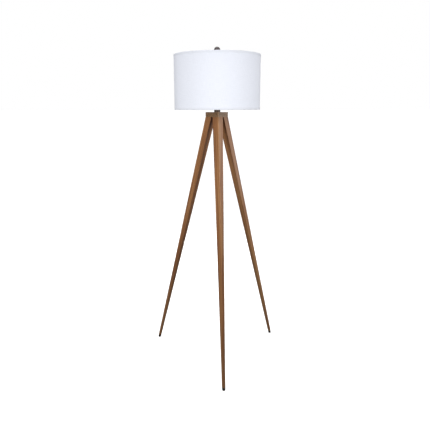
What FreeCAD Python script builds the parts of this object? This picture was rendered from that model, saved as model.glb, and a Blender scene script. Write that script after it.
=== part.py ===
# Tripod floor lamp: three tapered triangular legs under a triangular hub, a lamp holder on a threaded pipe,
# a harp with a locking sleeve on each foot, and a drum shade held down by a ball finial.
#
# Millimetres, +Z up. The origin is on the floor, under the lamp's axis. One leg points along -Y, the front.
# Every piece is a solid of its own, written to parts/NAME.step.

import FreeCAD, Part
import math
import os

# Driving dimensions
OVERALL_HEIGHT = 1525.5
SHADE_RADIUS = 200.0
SHADE_HEIGHT = 245.0
HUB_TOP_Z = 1233.5
HUB_THICKNESS = 22.0
HUB_RIDGE_RADIUS = 63.0         # sharp corner of the triangular hub, before rounding
HUB_RIM_CHAMFER = 0.7
FLOOR_RIDGE_RADIUS = 371.5      # where the leg's outer ridge would meet the floor
LEG_TOP_SIDE = 50.4             # side of the leg's equilateral section under the hub
LEG_FLOOR_SIDE = 17.4
EDGE_ROUNDING = 1.3
LEG_AZIMUTHS = {"front": -90.0, "right": 30.0, "left": 150.0}
SHADE_BOTTOM_Z = HUB_TOP_Z + 11.0

# Wooden joints and feet
FOOT_HEIGHT = 13.0
FOOT_ROUNDING = 2.0
SOLE_ROUNDING = 1.4
FOOT_NAIL_RADIUS = 1.2
FOOT_NAIL_DEPTH = 11.0          # in the leg
FOOT_NAIL_HEAD_RADIUS = 2.9
FOOT_NAIL_HEAD_DROP = 3.4       # underside of the head below the glide's top
FOOT_NAIL_HEAD_THICKNESS = 1.0
BOLT_RADIUS = 2.95
BOLT_LENGTH = 36.0
BOLT_HEAD_RADIUS = 5.0
BOLT_HEAD_HEIGHT = 6.0
BOLT_HEAD_CHAMFER = 0.5
BOLT_KEY_SIZE = 5.0
BOLT_KEY_DEPTH = 3.0
BOLT_HEAD_SINK = 8.5            # seat of the head below the hub's top, along the bolt
BOLT_HOLE_CLEARANCE = 0.3
BOLT_RUN_OUT = 8.0              # empty hole in the leg below the insert
BOLT_WASHER_RADIUS = 5.6
BOLT_WASHER_THICKNESS = 1.0
BOLT_WASHER_PLAY = 0.15         # between the washer and the bolt's shank
INSERT_RADIUS = 4.8
INSERT_HOLE_DEPTH = 20.0
INSERT_LENGTH = 18.5
INSERT_SINK = 1.3               # top of the insert below the leg's end
DOWEL_RADIUS = 3.0
DOWEL_DEPTH = 15.0              # in the hub and in the leg alike
DOWEL_SPREAD = 11.0             # from the bolt's plane, along the leg's inner face
DOWEL_INSET = 6.0               # from the bolt towards the lamp's axis

# Threaded pipe and what is clamped on it
PIPE_RADIUS = 5.0
PIPE_BORE = 3.6
PIPE_CLEARANCE = 0.15
HUB_PIPE_CLEARANCE = 0.3
PIPE_BOTTOM_Z = HUB_TOP_Z - 40.0
PIPE_TOP_Z = HUB_TOP_Z + 32.0
NUT_SIZE = 14.0
NUT_HEIGHT = 4.0
PIPE_WASHER_RADIUS = 11.0
PIPE_WASHER_THICKNESS = 1.5
BUSHING_RADIUS = 7.0
BUSHING_BORE = 3.3
BUSHING_BOTTOM_Z = PIPE_BOTTOM_Z - 6.0
BUSHING_TOP_Z = PIPE_BOTTOM_Z + 6.0
BUSHING_LIP = 4.0               # length of the narrow throat below the pipe's end
BUSHING_ROUNDING = 1.0
NECK_RADIUS = 14.5
NECK_HEIGHT = 22.0
NECK_WALL = 1.2
NECK_ROUNDING = 2.0

# Harp
SADDLE_THICKNESS = 1.2
SADDLE_HALF_LENGTH = 32.0
SADDLE_WIDTH = 9.0
SADDLE_CORNER = 4.0
SADDLE_EYE_RADIUS = 9.5
TONGUE_FACE_X = 27.0
TONGUE_WIDTH = 5.0
TONGUE_HEIGHT = 12.0
TONGUE_CORNER = 1.6
HARP_WIRE_RADIUS = 2.0
HARP_FOOT_X = 29.0
HARP_TOP_Z = HUB_TOP_Z + 244.0  # centreline of the wire at the crown
HARP_SPLAY_DEG = 12.0
HARP_LOWER_BEND = 80.0
HARP_CROWN_RADIUS = 52.0
HARP_CROWN_FLAT = 4.0
EYE_RADIUS = 7.3
EYE_THICKNESS = 3.0
EYE_SHOULDER = 0.3              # the wire is flattened this far beyond the eye's rim
FERRULE_X = 28.4
FERRULE_BORE = 4.2
FERRULE_RADIUS = 5.4
FERRULE_LENGTH = 14.0
FERRULE_ROUNDING = 0.5
FERRULE_LIFT = 0.2              # gap to the saddle when the sleeve is down
RUNNING_CLEARANCE = 0.05
SWIVEL_SHANK_RADIUS = 2.5
SWIVEL_FLANGE_RADIUS = 7.0
SWIVEL_FLANGE_THICKNESS = 2.4
SWIVEL_RIVET_RADIUS = 4.5
SWIVEL_RIVET_HEIGHT = 2.0
SWIVEL_END_PLAY = 0.1           # above the harp's eye, and below it
STUD_RADIUS = 3.1
STUD_LENGTH = 14.0
STUD_CHAMFER = 0.8

# Lamp holder
CAP_NECK_RADIUS = 8.0
CAP_RADIUS = 18.5
CAP_WALL = 0.8
CAP_EASING = 2.0                # bevel between the cup's cone and its rim
CAP_HEIGHT = 24.0
CAP_NECK_HEIGHT = 6.0
CAP_FLARE_HEIGHT = 9.0
SET_SCREW_RADIUS = 1.5
SET_SCREW_PROUD = 0.8
SET_SCREW_GAP = 0.2             # between the screw's point and the pipe
SHELL_RADIUS = 17.6
SHELL_WALL = 0.6
SHELL_BOTTOM_Z = HUB_TOP_Z + 38.5
SHELL_TOP_Z = SHELL_BOTTOM_Z + 49.5
BEAD_DROP = 6.0                 # the shell's rolled bead below its mouth
BEAD_HALF_WIDTH = 1.2
BEAD_HEIGHT = 0.7
LINER_GAP = 0.1
LINER_WALL = 0.6
CARD_BOTTOM_GAP = 0.5
CARD_TOP_GAP = 1.5
CORE_RADIUS = 15.8
CORE_BOTTOM_Z = SHELL_BOTTOM_Z
CORE_TOP_Z = CORE_BOTTOM_Z + 19.5
CORE_FLAT_X = 13.4
CORE_FLANGE = 6.0               # full round part above the two flats
SCREW_SHELL_BORE = 13.2
SCREW_SHELL_WALL = 0.6
SCREW_SHELL_FLOOR_BORE = 5.0
SCREW_SHELL_TOP_Z = CORE_TOP_Z + 26.0
CONTACT_HEIGHT = 2.6
CONTACT_WIDTH = 4.0
TERMINAL_Z = CORE_BOTTOM_Z + 7.5
TERMINAL_HEAD_RADIUS = 2.9
TERMINAL_HEAD_HEIGHT = 2.0
TERMINAL_SHANK_RADIUS = 1.5
TERMINAL_SHANK_LENGTH = 5.0
SLOT_WIDTH = 0.8
SLOT_DEPTH = 1.0
SWITCH_Z = CORE_BOTTOM_Z + 12.5
SWITCH_SHAFT_RADIUS = 2.2
SWITCH_SHAFT_INNER_Y = 5.5
SWITCH_BORE_INNER_Y = 5.0
SWITCH_HOLE_RADIUS = 3.2
KNOB_RADIUS = 6.5
KNOB_LENGTH = 14.0
KNOB_INNER_Y = 24.0
KNOB_FACE = 4.0                 # knob left solid beyond the shaft's end
KNOB_ROUNDING = 1.2
KNOB_FLUTES = 12
FLUTE_RADIUS = 1.1
FLUTE_OFFSET = 0.5              # centre of a flute outside the knob's rim

# Bulb
BULB_CONTACT_Z = CORE_TOP_Z + 2.8
BULB_CONTACT_RADIUS = 3.2
BULB_CONTACT_HEIGHT = 1.4
BULB_LENGTH = 109.0
BULB_CAP_RADIUS = 13.0
BULB_CAP_WALL = 0.4
BULB_CAP_FLOOR_RADIUS = 10.6    # hole in the cap's floor, filled by the insulator
BULB_CAP_BOTTOM_Z = BULB_CONTACT_Z + 4.2
BULB_CAP_TOP_Z = BULB_CAP_BOTTOM_Z + 21.0
BULB_RADIUS = 30.0
BULB_WALL = 1.2
BULB_BODY_WALL = 1.5
BULB_STEP = 0.6                 # the body stands proud of the cap, and the dome of the body
BULB_DOME_DROP = 6.0            # joint of dome and body below the dome's centre
BOARD_RADIUS = 26.5
BOARD_THICKNESS = 1.6
BOARD_DROP = 9.0                # underside of the board below the dome's centre
CHIP_COUNT = 8
CHIP_SIDE = 2.8
CHIP_HEIGHT = 0.8
CHIP_RING_RADIUS = 14.4

# Drum shade
RING_WIRE_RADIUS = 1.6
TRIM_THICKNESS = 0.4
TRIM_HEIGHT = 10.0
TRIM_INNER_HEIGHT = 7.0
FABRIC_THICKNESS = 0.6
LINER_THICKNESS = 0.6
SPIDER_WASHER_RADIUS = 15.0
SPIDER_WASHER_BORE = 3.6
SPIDER_WASHER_THICKNESS = 1.5
SPIDER_ARM_RADIUS = 1.5
SPIDER_ARM_START = 10.5
SPIDER_ARM_AZIMUTHS = (90.0, 210.0, 330.0)
SEAT_GAP = 0.05                 # between the swivel's flange and the washer that rests on it

# Finial
FINIAL_BALL_RADIUS = 14.2
FINIAL_BASE_RADIUS = 8.4
FINIAL_BASE_HEIGHT = 2.6
FINIAL_BASE_ROUNDING = 1.0
FINIAL_NECK_RADIUS = 6.2
FINIAL_COVE = 1.2               # the neck widens by this where it meets the base
FINIAL_GAP = 0.1                # between the base and the washer below it
FINIAL_INSERT_RADIUS = 4.6
FINIAL_INSERT_BORE = 3.25
FINIAL_INSERT_LENGTH = 12.5
FINIAL_INSERT_SINK = 0.3
FINIAL_BORE_SPARE = 1.2         # bore beyond the insert's length

# Derived sizes
HUB_BOTTOM_Z = HUB_TOP_Z - HUB_THICKNESS
SHADE_TOP_Z = SHADE_BOTTOM_Z + SHADE_HEIGHT
TRIANGLE_DEPTH = math.sqrt(3) / 2           # depth of an equilateral triangle of side 1
NECK_TOP_Z = HUB_TOP_Z + NECK_HEIGHT
SADDLE_TOP_Z = NECK_TOP_Z + SADDLE_THICKNESS
EYE_TOP_Z = HARP_TOP_Z + EYE_THICKNESS / 2
EYE_BOTTOM_Z = HARP_TOP_Z - EYE_THICKNESS / 2
FLANGE_BOTTOM_Z = EYE_TOP_Z + SWIVEL_END_PLAY
FLANGE_TOP_Z = FLANGE_BOTTOM_Z + SWIVEL_FLANGE_THICKNESS
SPIDER_BOTTOM_Z = FLANGE_TOP_Z + SEAT_GAP
SPIDER_TOP_Z = SPIDER_BOTTOM_Z + SPIDER_WASHER_THICKNESS
FABRIC_RADIUS = SHADE_RADIUS - TRIM_THICKNESS
LINER_RADIUS = FABRIC_RADIUS - FABRIC_THICKNESS
RING_RADIUS = LINER_RADIUS - LINER_THICKNESS - RING_WIRE_RADIUS
RING_INSET_Z = TRIM_THICKNESS + RING_WIRE_RADIUS
TRIM_INNER_RADIUS = RING_RADIUS - RING_WIRE_RADIUS - TRIM_THICKNESS
FINIAL_BASE_Z = SPIDER_TOP_Z + FINIAL_GAP
FINIAL_BALL_Z = OVERALL_HEIGHT - FINIAL_BALL_RADIUS
BULB_CENTRE_Z = BULB_CONTACT_Z + BULB_LENGTH - BULB_RADIUS
BULB_JOINT_Z = BULB_CENTRE_Z - BULB_DOME_DROP

UP = FreeCAD.Vector(0, 0, 1)
SPARE = 3.0                     # how far a cutting shape runs past the face that it opens
NEAR = 0.1                      # tolerance for picking edges by their height


# Helpers
def at(radius, azimuth_deg, z, sideways=0.0):
    """Point at a radius from the axis, moved sideways (anticlockwise from above)."""
    a = math.radians(azimuth_deg)
    return FreeCAD.Vector(radius * math.cos(a) - sideways * math.sin(a),
                          radius * math.sin(a) + sideways * math.cos(a), z)


def rod(radius, start, end):
    """Cylinder from one point to another."""
    direction = end - start
    return Part.makeCylinder(radius, direction.Length, start, direction)


def disc(radius, bottom, top, bore=0.0):
    """Round plate or tube about the lamp's axis, from one height to another."""
    solid = Part.makeCylinder(radius, top - bottom, FreeCAD.Vector(0, 0, bottom))
    if bore:
        solid = solid.cut(Part.makeCylinder(bore, top - bottom, FreeCAD.Vector(0, 0, bottom)))
    return solid


def turned(points):
    """Solid of revolution about the lamp's axis from (radius, z) corners."""
    corners = [FreeCAD.Vector(r, 0, z) for r, z in points]
    face = Part.Face(Part.makePolygon(corners + corners[:1]))
    return face.revolve(FreeCAD.Vector(0, 0, 0), UP, 360)


def frustum(lower, upper):
    """Flat-faced solid between two triangles with parallel sides, both anticlockwise from above."""
    downward = lower[::-1]
    faces = [Part.Face(Part.makePolygon(ring + ring[:1])) for ring in (downward, upper)]
    for i in range(3):
        j = (i + 1) % 3
        faces.append(Part.Face(Part.makePolygon([lower[i], lower[j], upper[j], upper[i], lower[i]])))
    return Part.makeSolid(Part.makeShell(faces))


def hexagon(size, start, direction, length):
    """Hexagonal prism, measured across its flats."""
    circumradius = size / math.sqrt(3)
    corners = [FreeCAD.Vector(circumradius * math.cos(math.radians(60 * i)),
                              circumradius * math.sin(math.radians(60 * i)), 0) for i in range(7)]
    prism = Part.Face(Part.makePolygon(corners)).extrude(FreeCAD.Vector(0, 0, length))
    prism.Placement = FreeCAD.Placement(start, FreeCAD.Rotation(UP, direction))
    return prism


def swept(wire, radius):
    """Round bar along a wire of straight runs and tangent arcs."""
    start = wire.OrderedVertexes[0].Point
    first = wire.OrderedEdges[0]
    tangent = first.tangentAt(first.FirstParameter)
    profile = Part.Wire(Part.makeCircle(radius, start, tangent))
    return wire.makePipeShell([profile], True, True)


def group(solids):
    """Several separate solids in one node."""
    return Part.makeCompound(solids)


# Legs, hub and feet
def leg_size(z):
    """Ridge radius and side of the leg's section at a height."""
    share = z / HUB_BOTTOM_Z
    ridge = FLOOR_RIDGE_RADIUS + (HUB_RIDGE_RADIUS - FLOOR_RIDGE_RADIUS) * share
    side = LEG_FLOOR_SIDE + (LEG_TOP_SIDE - LEG_FLOOR_SIDE) * share
    return ridge, side


def leg_section(azimuth, z):
    """Corners of the leg's triangle at a height: the outer ridge, then the two corners of the inner face."""
    ridge, side = leg_size(z)
    inner = ridge - side * TRIANGLE_DEPTH
    return [at(ridge, azimuth, z), at(inner, azimuth, z, side / 2), at(inner, azimuth, z, -side / 2)]


def leg_centre(azimuth, z):
    """Centroid of the leg's section at a height."""
    ridge, side = leg_size(z)
    return at(ridge - side * TRIANGLE_DEPTH * 2 / 3, azimuth, z)


def leg_axis(azimuth):
    """Unit vector up the leg."""
    return (leg_centre(azimuth, HUB_BOTTOM_Z) - leg_centre(azimuth, 0)).normalize()


def rounded_long_edges(solid, radius):
    """Rounds the edges that climb, and leaves the two end faces sharp."""
    climbing = [e for e in solid.Edges if abs(e.Vertexes[0].Z - e.Vertexes[1].Z) > NEAR]
    return solid.makeFillet(radius, climbing)


def dowel_centres(azimuth):
    """Where the two dowels cross the joint between leg and hub."""
    centre = leg_centre(azimuth, HUB_BOTTOM_Z)
    radius = math.hypot(centre.x, centre.y) - DOWEL_INSET
    return [at(radius, azimuth, HUB_BOTTOM_Z, s) for s in (-DOWEL_SPREAD, DOWEL_SPREAD)]


def dowels(azimuth):
    axis = leg_axis(azimuth)
    half = axis * DOWEL_DEPTH
    return [rod(DOWEL_RADIUS, c - half, c + half) for c in dowel_centres(azimuth)]


def bolt_seat(azimuth):
    """Point under the bolt's head, on the bolt's axis."""
    axis = leg_axis(azimuth)
    top = leg_centre(azimuth, HUB_BOTTOM_Z) + axis * (HUB_THICKNESS / axis.z)
    return top - axis * BOLT_HEAD_SINK


def leg(azimuth):
    """Tapered leg with sockets for its insert, its dowels and the foot's nail."""
    body = frustum(leg_section(azimuth, FOOT_HEIGHT), leg_section(azimuth, HUB_BOTTOM_Z))
    body = rounded_long_edges(body, EDGE_ROUNDING)
    axis = leg_axis(azimuth)
    top = leg_centre(azimuth, HUB_BOTTOM_Z)
    beyond = top + axis * SPARE
    hole_end = top - axis * (INSERT_HOLE_DEPTH + BOLT_RUN_OUT)
    body = body.cut(rod(INSERT_RADIUS, top - axis * INSERT_HOLE_DEPTH, beyond))
    body = body.cut(rod(BOLT_RADIUS + BOLT_HOLE_CLEARANCE, hole_end, beyond))
    for dowel in dowels(azimuth):
        body = body.cut(dowel)
    return body.cut(foot_nail(azimuth))


def hub_block():
    """Triangular block whose three faces carry on into the legs' outer faces."""
    lower = [at(HUB_RIDGE_RADIUS, a, HUB_BOTTOM_Z) for a in LEG_AZIMUTHS.values()]
    upper = [at(HUB_RIDGE_RADIUS, a, HUB_TOP_Z) for a in LEG_AZIMUTHS.values()]
    block = rounded_long_edges(frustum(lower, upper), EDGE_ROUNDING)
    rim = [e for e in block.Edges if min(v.Z for v in e.Vertexes) > HUB_TOP_Z - NEAR]
    block = block.makeChamfer(HUB_RIM_CHAMFER, rim)
    block = block.cut(disc(PIPE_RADIUS + HUB_PIPE_CLEARANCE, HUB_BOTTOM_Z, HUB_TOP_Z))
    bolt_hole = BOLT_RADIUS + BOLT_HOLE_CLEARANCE
    pocket = BOLT_WASHER_RADIUS + BOLT_HOLE_CLEARANCE
    for azimuth in LEG_AZIMUTHS.values():
        axis = leg_axis(azimuth)
        seat = bolt_seat(azimuth)
        block = block.cut(rod(bolt_hole, seat - axis * HUB_THICKNESS, seat))
        block = block.cut(rod(pocket, seat, seat + axis * HUB_THICKNESS))
        for dowel in dowels(azimuth):
            block = block.cut(dowel)
    return block


def leg_bolt(azimuth):
    """Socket-head bolt down the leg's own axis."""
    axis = leg_axis(azimuth)
    under_head = bolt_seat(azimuth) + axis * BOLT_WASHER_THICKNESS
    head_top = under_head + axis * BOLT_HEAD_HEIGHT
    head = rod(BOLT_HEAD_RADIUS, under_head, head_top)
    rim = [e for e in head.Edges if e.CenterOfMass.z > head_top.z - NEAR]
    head = head.makeChamfer(BOLT_HEAD_CHAMFER, rim)
    key = hexagon(BOLT_KEY_SIZE, head_top - axis * BOLT_KEY_DEPTH, axis, BOLT_KEY_DEPTH + SPARE)
    return head.cut(key).fuse(rod(BOLT_RADIUS, under_head - axis * BOLT_LENGTH, under_head))


def leg_bolt_washer(azimuth):
    axis = leg_axis(azimuth)
    seat = bolt_seat(azimuth)
    top = seat + axis * BOLT_WASHER_THICKNESS
    return rod(BOLT_WASHER_RADIUS, seat, top).cut(rod(BOLT_RADIUS + BOLT_WASHER_PLAY, seat, top))


def leg_insert(azimuth):
    """Brass thread in the leg's end grain."""
    axis = leg_axis(azimuth)
    top = leg_centre(azimuth, HUB_BOTTOM_Z) - axis * INSERT_SINK
    bottom = top - axis * INSERT_LENGTH
    return rod(INSERT_RADIUS, bottom, top).cut(rod(BOLT_RADIUS + RUNNING_CLEARANCE, bottom, top))


def foot_glide(azimuth):
    """Moulded tip that carries the leg's section on down to the floor, with a rounded sole."""
    tip = frustum(leg_section(azimuth, 0), leg_section(azimuth, FOOT_HEIGHT))
    tip = rounded_long_edges(tip, FOOT_ROUNDING)
    tip = tip.makeFillet(SOLE_ROUNDING, [e for e in tip.Edges if e.BoundBox.ZMax < NEAR])
    return tip.cut(foot_nail(azimuth))


def foot_nail(azimuth):
    centre = leg_centre(azimuth, FOOT_HEIGHT)
    head = centre - UP * FOOT_NAIL_HEAD_DROP
    shank = rod(FOOT_NAIL_RADIUS, head, centre + UP * FOOT_NAIL_DEPTH)
    return shank.fuse(rod(FOOT_NAIL_HEAD_RADIUS, head, head + UP * FOOT_NAIL_HEAD_THICKNESS))


# Pipe, neck and harp saddle
def threaded_pipe():
    return disc(PIPE_RADIUS, PIPE_BOTTOM_Z, PIPE_TOP_Z, PIPE_BORE)


def pipe_washer():
    bottom = HUB_BOTTOM_Z - PIPE_WASHER_THICKNESS
    return disc(PIPE_WASHER_RADIUS, bottom, HUB_BOTTOM_Z, PIPE_RADIUS + PIPE_CLEARANCE)


def pipe_nut():
    top = HUB_BOTTOM_Z - PIPE_WASHER_THICKNESS
    nut = hexagon(NUT_SIZE, FreeCAD.Vector(0, 0, top - NUT_HEIGHT), UP, NUT_HEIGHT)
    return nut.cut(disc(PIPE_RADIUS, top - NUT_HEIGHT, top))


def cord_bushing():
    """Plastic bush screwed over the pipe's lower end, with a smooth throat for a flex."""
    body = disc(BUSHING_RADIUS, BUSHING_BOTTOM_Z, BUSHING_TOP_Z)
    body = body.makeFillet(BUSHING_ROUNDING, [e for e in body.Edges if e.Closed])
    body = body.cut(disc(PIPE_RADIUS, PIPE_BOTTOM_Z, BUSHING_TOP_Z))
    throat_top = BUSHING_BOTTOM_Z + BUSHING_LIP
    body = body.cut(disc(PIPE_BORE, throat_top, PIPE_BOTTOM_Z))
    return body.cut(disc(BUSHING_BORE, BUSHING_BOTTOM_Z, throat_top))


def neck_collar():
    """Drawn metal cup that stands on the hub, open below."""
    outside = disc(NECK_RADIUS, HUB_TOP_Z, NECK_TOP_Z)
    rim = [e for e in outside.Edges if e.CenterOfMass.z > NECK_TOP_Z - NEAR and e.Closed]
    outside = outside.makeFillet(NECK_ROUNDING, rim)
    inside = disc(NECK_RADIUS - NECK_WALL, HUB_TOP_Z, NECK_TOP_Z - NECK_WALL)
    return outside.cut(inside).cut(disc(PIPE_RADIUS + PIPE_CLEARANCE, HUB_TOP_Z, NECK_TOP_Z))


def harp_saddle():
    """Pressed strip with a tongue at each end for the harp's feet."""
    strip = Part.makeBox(2 * SADDLE_HALF_LENGTH, SADDLE_WIDTH, SADDLE_THICKNESS,
                         FreeCAD.Vector(-SADDLE_HALF_LENGTH, -SADDLE_WIDTH / 2, NECK_TOP_Z))
    strip = rounded_long_edges(strip, SADDLE_CORNER)
    strip = strip.fuse(disc(SADDLE_EYE_RADIUS, NECK_TOP_Z, SADDLE_TOP_Z))
    for side in (-1, 1):
        left = min(side * TONGUE_FACE_X, side * (TONGUE_FACE_X - SADDLE_THICKNESS))
        corner = FreeCAD.Vector(left, -TONGUE_WIDTH / 2, NECK_TOP_Z)
        tongue = Part.makeBox(SADDLE_THICKNESS, TONGUE_WIDTH, TONGUE_HEIGHT + SADDLE_THICKNESS, corner)
        top_edges = [e for e in tongue.Edges if e.CenterOfMass.z > SADDLE_TOP_Z + TONGUE_HEIGHT - NEAR
                     and abs(e.Vertexes[0].X - e.Vertexes[1].X) > SADDLE_THICKNESS / 2]
        strip = strip.fuse(tongue.makeFillet(TONGUE_CORNER, top_edges))
    return strip.cut(disc(PIPE_RADIUS + PIPE_CLEARANCE, NECK_TOP_Z, SADDLE_TOP_Z)).removeSplitter()


# Harp
def arc(start, middle, end):
    return Part.Arc(start, middle, end).toShape()


def harp_half():
    """Edges of one side of the harp, from its foot up to the crown, for x above 0."""
    splay = math.radians(HARP_SPLAY_DEG)

    def point(x, z):
        return FreeCAD.Vector(x, 0, z)

    def on_lower_bend(angle, z):
        x = HARP_FOOT_X + HARP_LOWER_BEND * (1 - math.cos(angle))
        return point(x, z + HARP_LOWER_BEND * math.sin(angle))

    def on_crown(angle):
        """Angle from level, outwards, about the crown arc's centre."""
        return point(HARP_CROWN_FLAT + HARP_CROWN_RADIUS * math.cos(angle),
                     HARP_TOP_Z - HARP_CROWN_RADIUS + HARP_CROWN_RADIUS * math.sin(angle))

    crown_start = on_crown(-splay)
    run = (crown_start.x - on_lower_bend(splay, 0).x) / math.tan(splay)
    bend_z = crown_start.z - run - HARP_LOWER_BEND * math.sin(splay)
    foot = point(HARP_FOOT_X, SADDLE_TOP_Z + SEAT_GAP)
    bend_start, bend_end = on_lower_bend(0, bend_z), on_lower_bend(splay, bend_z)
    crown_end = on_crown(math.pi / 2)
    return [Part.LineSegment(foot, bend_start).toShape(),
            arc(bend_start, on_lower_bend(splay / 2, bend_z), bend_end),
            Part.LineSegment(bend_end, crown_start).toShape(),
            arc(crown_start, on_crown((math.pi / 2 - splay) / 2), crown_end),
            Part.LineSegment(crown_end, point(0, HARP_TOP_Z)).toShape()]


def harp_bow():
    """Bent wire with a flattened eye at its crown for the swivel."""
    half = swept(Part.Wire(harp_half()), HARP_WIRE_RADIUS)
    bow = half.fuse(half.mirror(FreeCAD.Vector(0, 0, 0), FreeCAD.Vector(1, 0, 0)))
    flattened = EYE_RADIUS + EYE_SHOULDER
    bow = bow.cut(disc(flattened, EYE_TOP_Z, EYE_TOP_Z + HARP_WIRE_RADIUS))
    bow = bow.cut(disc(flattened, EYE_BOTTOM_Z - HARP_WIRE_RADIUS, EYE_BOTTOM_Z))
    bow = bow.fuse(disc(EYE_RADIUS, EYE_BOTTOM_Z, EYE_TOP_Z))
    return bow.cut(disc(SWIVEL_SHANK_RADIUS + RUNNING_CLEARANCE, EYE_BOTTOM_Z, EYE_TOP_Z))


def ferrule(side):
    """Sleeve that slides down over the harp's foot and the saddle's tongue."""
    bottom = FreeCAD.Vector(side * FERRULE_X, 0, SADDLE_TOP_Z + FERRULE_LIFT)
    top = bottom + UP * FERRULE_LENGTH
    sleeve = rod(FERRULE_RADIUS, bottom, top).cut(rod(FERRULE_BORE, bottom, top))
    outer_rims = [e for e in sleeve.Edges if e.Closed and abs(e.Curve.Radius - FERRULE_RADIUS) < NEAR]
    return sleeve.makeFillet(FERRULE_ROUNDING, outer_rims)


def harp_swivel():
    """Stud riveted through the harp's eye, free to turn, with a flange that carries the shade."""
    rivet_top = EYE_BOTTOM_Z - SWIVEL_END_PLAY
    tip_z = FLANGE_TOP_Z + STUD_LENGTH
    parts = [disc(SWIVEL_RIVET_RADIUS, rivet_top - SWIVEL_RIVET_HEIGHT, rivet_top),
             disc(SWIVEL_SHANK_RADIUS, rivet_top, FLANGE_BOTTOM_Z),
             disc(SWIVEL_FLANGE_RADIUS, FLANGE_BOTTOM_Z, FLANGE_TOP_Z),
             disc(STUD_RADIUS, FLANGE_TOP_Z, tip_z)]
    solid = parts[0].fuse(parts[1:])
    tip = [e for e in solid.Edges if e.CenterOfMass.z > tip_z - NEAR and e.Closed]
    return solid.makeChamfer(STUD_CHAMFER, tip)


# Lamp holder
def socket_cap():
    """Cup under the lamp holder, screwed to the pipe."""
    z0 = SADDLE_TOP_Z
    z1 = z0 + CAP_NECK_HEIGHT
    z2 = z1 + CAP_FLARE_HEIGHT
    z3 = z0 + CAP_HEIGHT
    inner = CAP_RADIUS - CAP_WALL
    shoulder_x, shoulder_z = CAP_RADIUS - CAP_EASING, z2 - CAP_EASING
    neck_top = z1 + CAP_WALL
    cup = turned([(PIPE_RADIUS, z0), (CAP_NECK_RADIUS, z0), (CAP_NECK_RADIUS, z1), (shoulder_x, shoulder_z),
                  (CAP_RADIUS, z2), (CAP_RADIUS, z3), (inner, z3), (inner, z2 + CAP_WALL / 2),
                  (shoulder_x - CAP_WALL / 2, shoulder_z + CAP_WALL), (CAP_NECK_RADIUS - CAP_WALL, neck_top),
                  (PIPE_RADIUS, neck_top)])
    return cup.cut(cap_set_screw())


def cap_set_screw():
    """Grub screw in the cup's neck, at the back."""
    z = SADDLE_TOP_Z + CAP_NECK_HEIGHT / 2
    outer_y = CAP_NECK_RADIUS + SET_SCREW_PROUD
    inner_y = PIPE_RADIUS + SET_SCREW_GAP
    body = rod(SET_SCREW_RADIUS, FreeCAD.Vector(0, inner_y, z), FreeCAD.Vector(0, outer_y, z))
    slot = Part.makeBox(2 * SPARE, SLOT_DEPTH, SLOT_WIDTH,
                        FreeCAD.Vector(-SPARE, outer_y - SLOT_DEPTH, z - SLOT_WIDTH / 2))
    return body.cut(slot)


def switch_hole():
    """Way out for the switch's shaft through the shell and its liner."""
    outside = FreeCAD.Vector(0, -SHELL_RADIUS - SPARE, SWITCH_Z)
    return rod(SWITCH_HOLE_RADIUS, FreeCAD.Vector(0, 0, SWITCH_Z), outside)


def socket_shell():
    """Outer tube with a rolled bead near its mouth."""
    inner = SHELL_RADIUS - SHELL_WALL
    bead_z = SHELL_TOP_Z - BEAD_DROP
    bead = [(0, -BEAD_HALF_WIDTH), (BEAD_HEIGHT, 0), (0, BEAD_HALF_WIDTH)]
    outside = [(SHELL_RADIUS + r, bead_z + z) for r, z in bead]
    inside = [(inner + r, bead_z + z) for r, z in reversed(bead)]
    mouth = [(SHELL_RADIUS, SHELL_TOP_Z), (inner, SHELL_TOP_Z)]
    foot = [(inner, SHELL_BOTTOM_Z), (SHELL_RADIUS, SHELL_BOTTOM_Z)]
    return turned(outside + mouth + inside + foot).cut(switch_hole())


def socket_liner():
    """Insulating sleeve inside the shell."""
    outer = SHELL_RADIUS - SHELL_WALL - LINER_GAP
    sleeve = disc(outer, SHELL_BOTTOM_Z + CARD_BOTTOM_GAP, SHELL_TOP_Z - CARD_TOP_GAP, outer - LINER_WALL)
    return sleeve.cut(switch_hole())


def terminal_screws():
    """A screw on each flat of the core."""
    screws = []
    for side in (-1, 1):
        flat = FreeCAD.Vector(side * CORE_FLAT_X, 0, TERMINAL_Z)
        out = FreeCAD.Vector(side, 0, 0)
        top = flat + out * TERMINAL_HEAD_HEIGHT
        slot_x = min(top.x, top.x - side * SLOT_DEPTH)
        slot = Part.makeBox(SLOT_DEPTH, 2 * SPARE, SLOT_WIDTH,
                            FreeCAD.Vector(slot_x, -SPARE, TERMINAL_Z - SLOT_WIDTH / 2))
        head = rod(TERMINAL_HEAD_RADIUS, flat, top).cut(slot)
        screws.append(head.fuse(rod(TERMINAL_SHANK_RADIUS, flat - out * TERMINAL_SHANK_LENGTH, flat)))
    return screws


def socket_core():
    """Moulded insulator that holds the switch, the terminals and the screw shell."""
    core = disc(CORE_RADIUS, CORE_BOTTOM_Z, CORE_TOP_Z)
    flat_height = CORE_TOP_Z - CORE_BOTTOM_Z - CORE_FLANGE
    for side in (-1, 1):
        left = min(side * CORE_FLAT_X, side * CORE_RADIUS)
        corner = FreeCAD.Vector(left, -CORE_RADIUS, CORE_BOTTOM_Z)
        core = core.cut(Part.makeBox(CORE_RADIUS - CORE_FLAT_X, 2 * CORE_RADIUS, flat_height, corner))
    bore = rod(SWITCH_SHAFT_RADIUS + RUNNING_CLEARANCE, FreeCAD.Vector(0, -SWITCH_BORE_INNER_Y, SWITCH_Z),
               FreeCAD.Vector(0, -CORE_RADIUS - SPARE, SWITCH_Z))
    core = core.cut(bore)
    for screw in terminal_screws():
        core = core.cut(screw)
    return core


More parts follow.
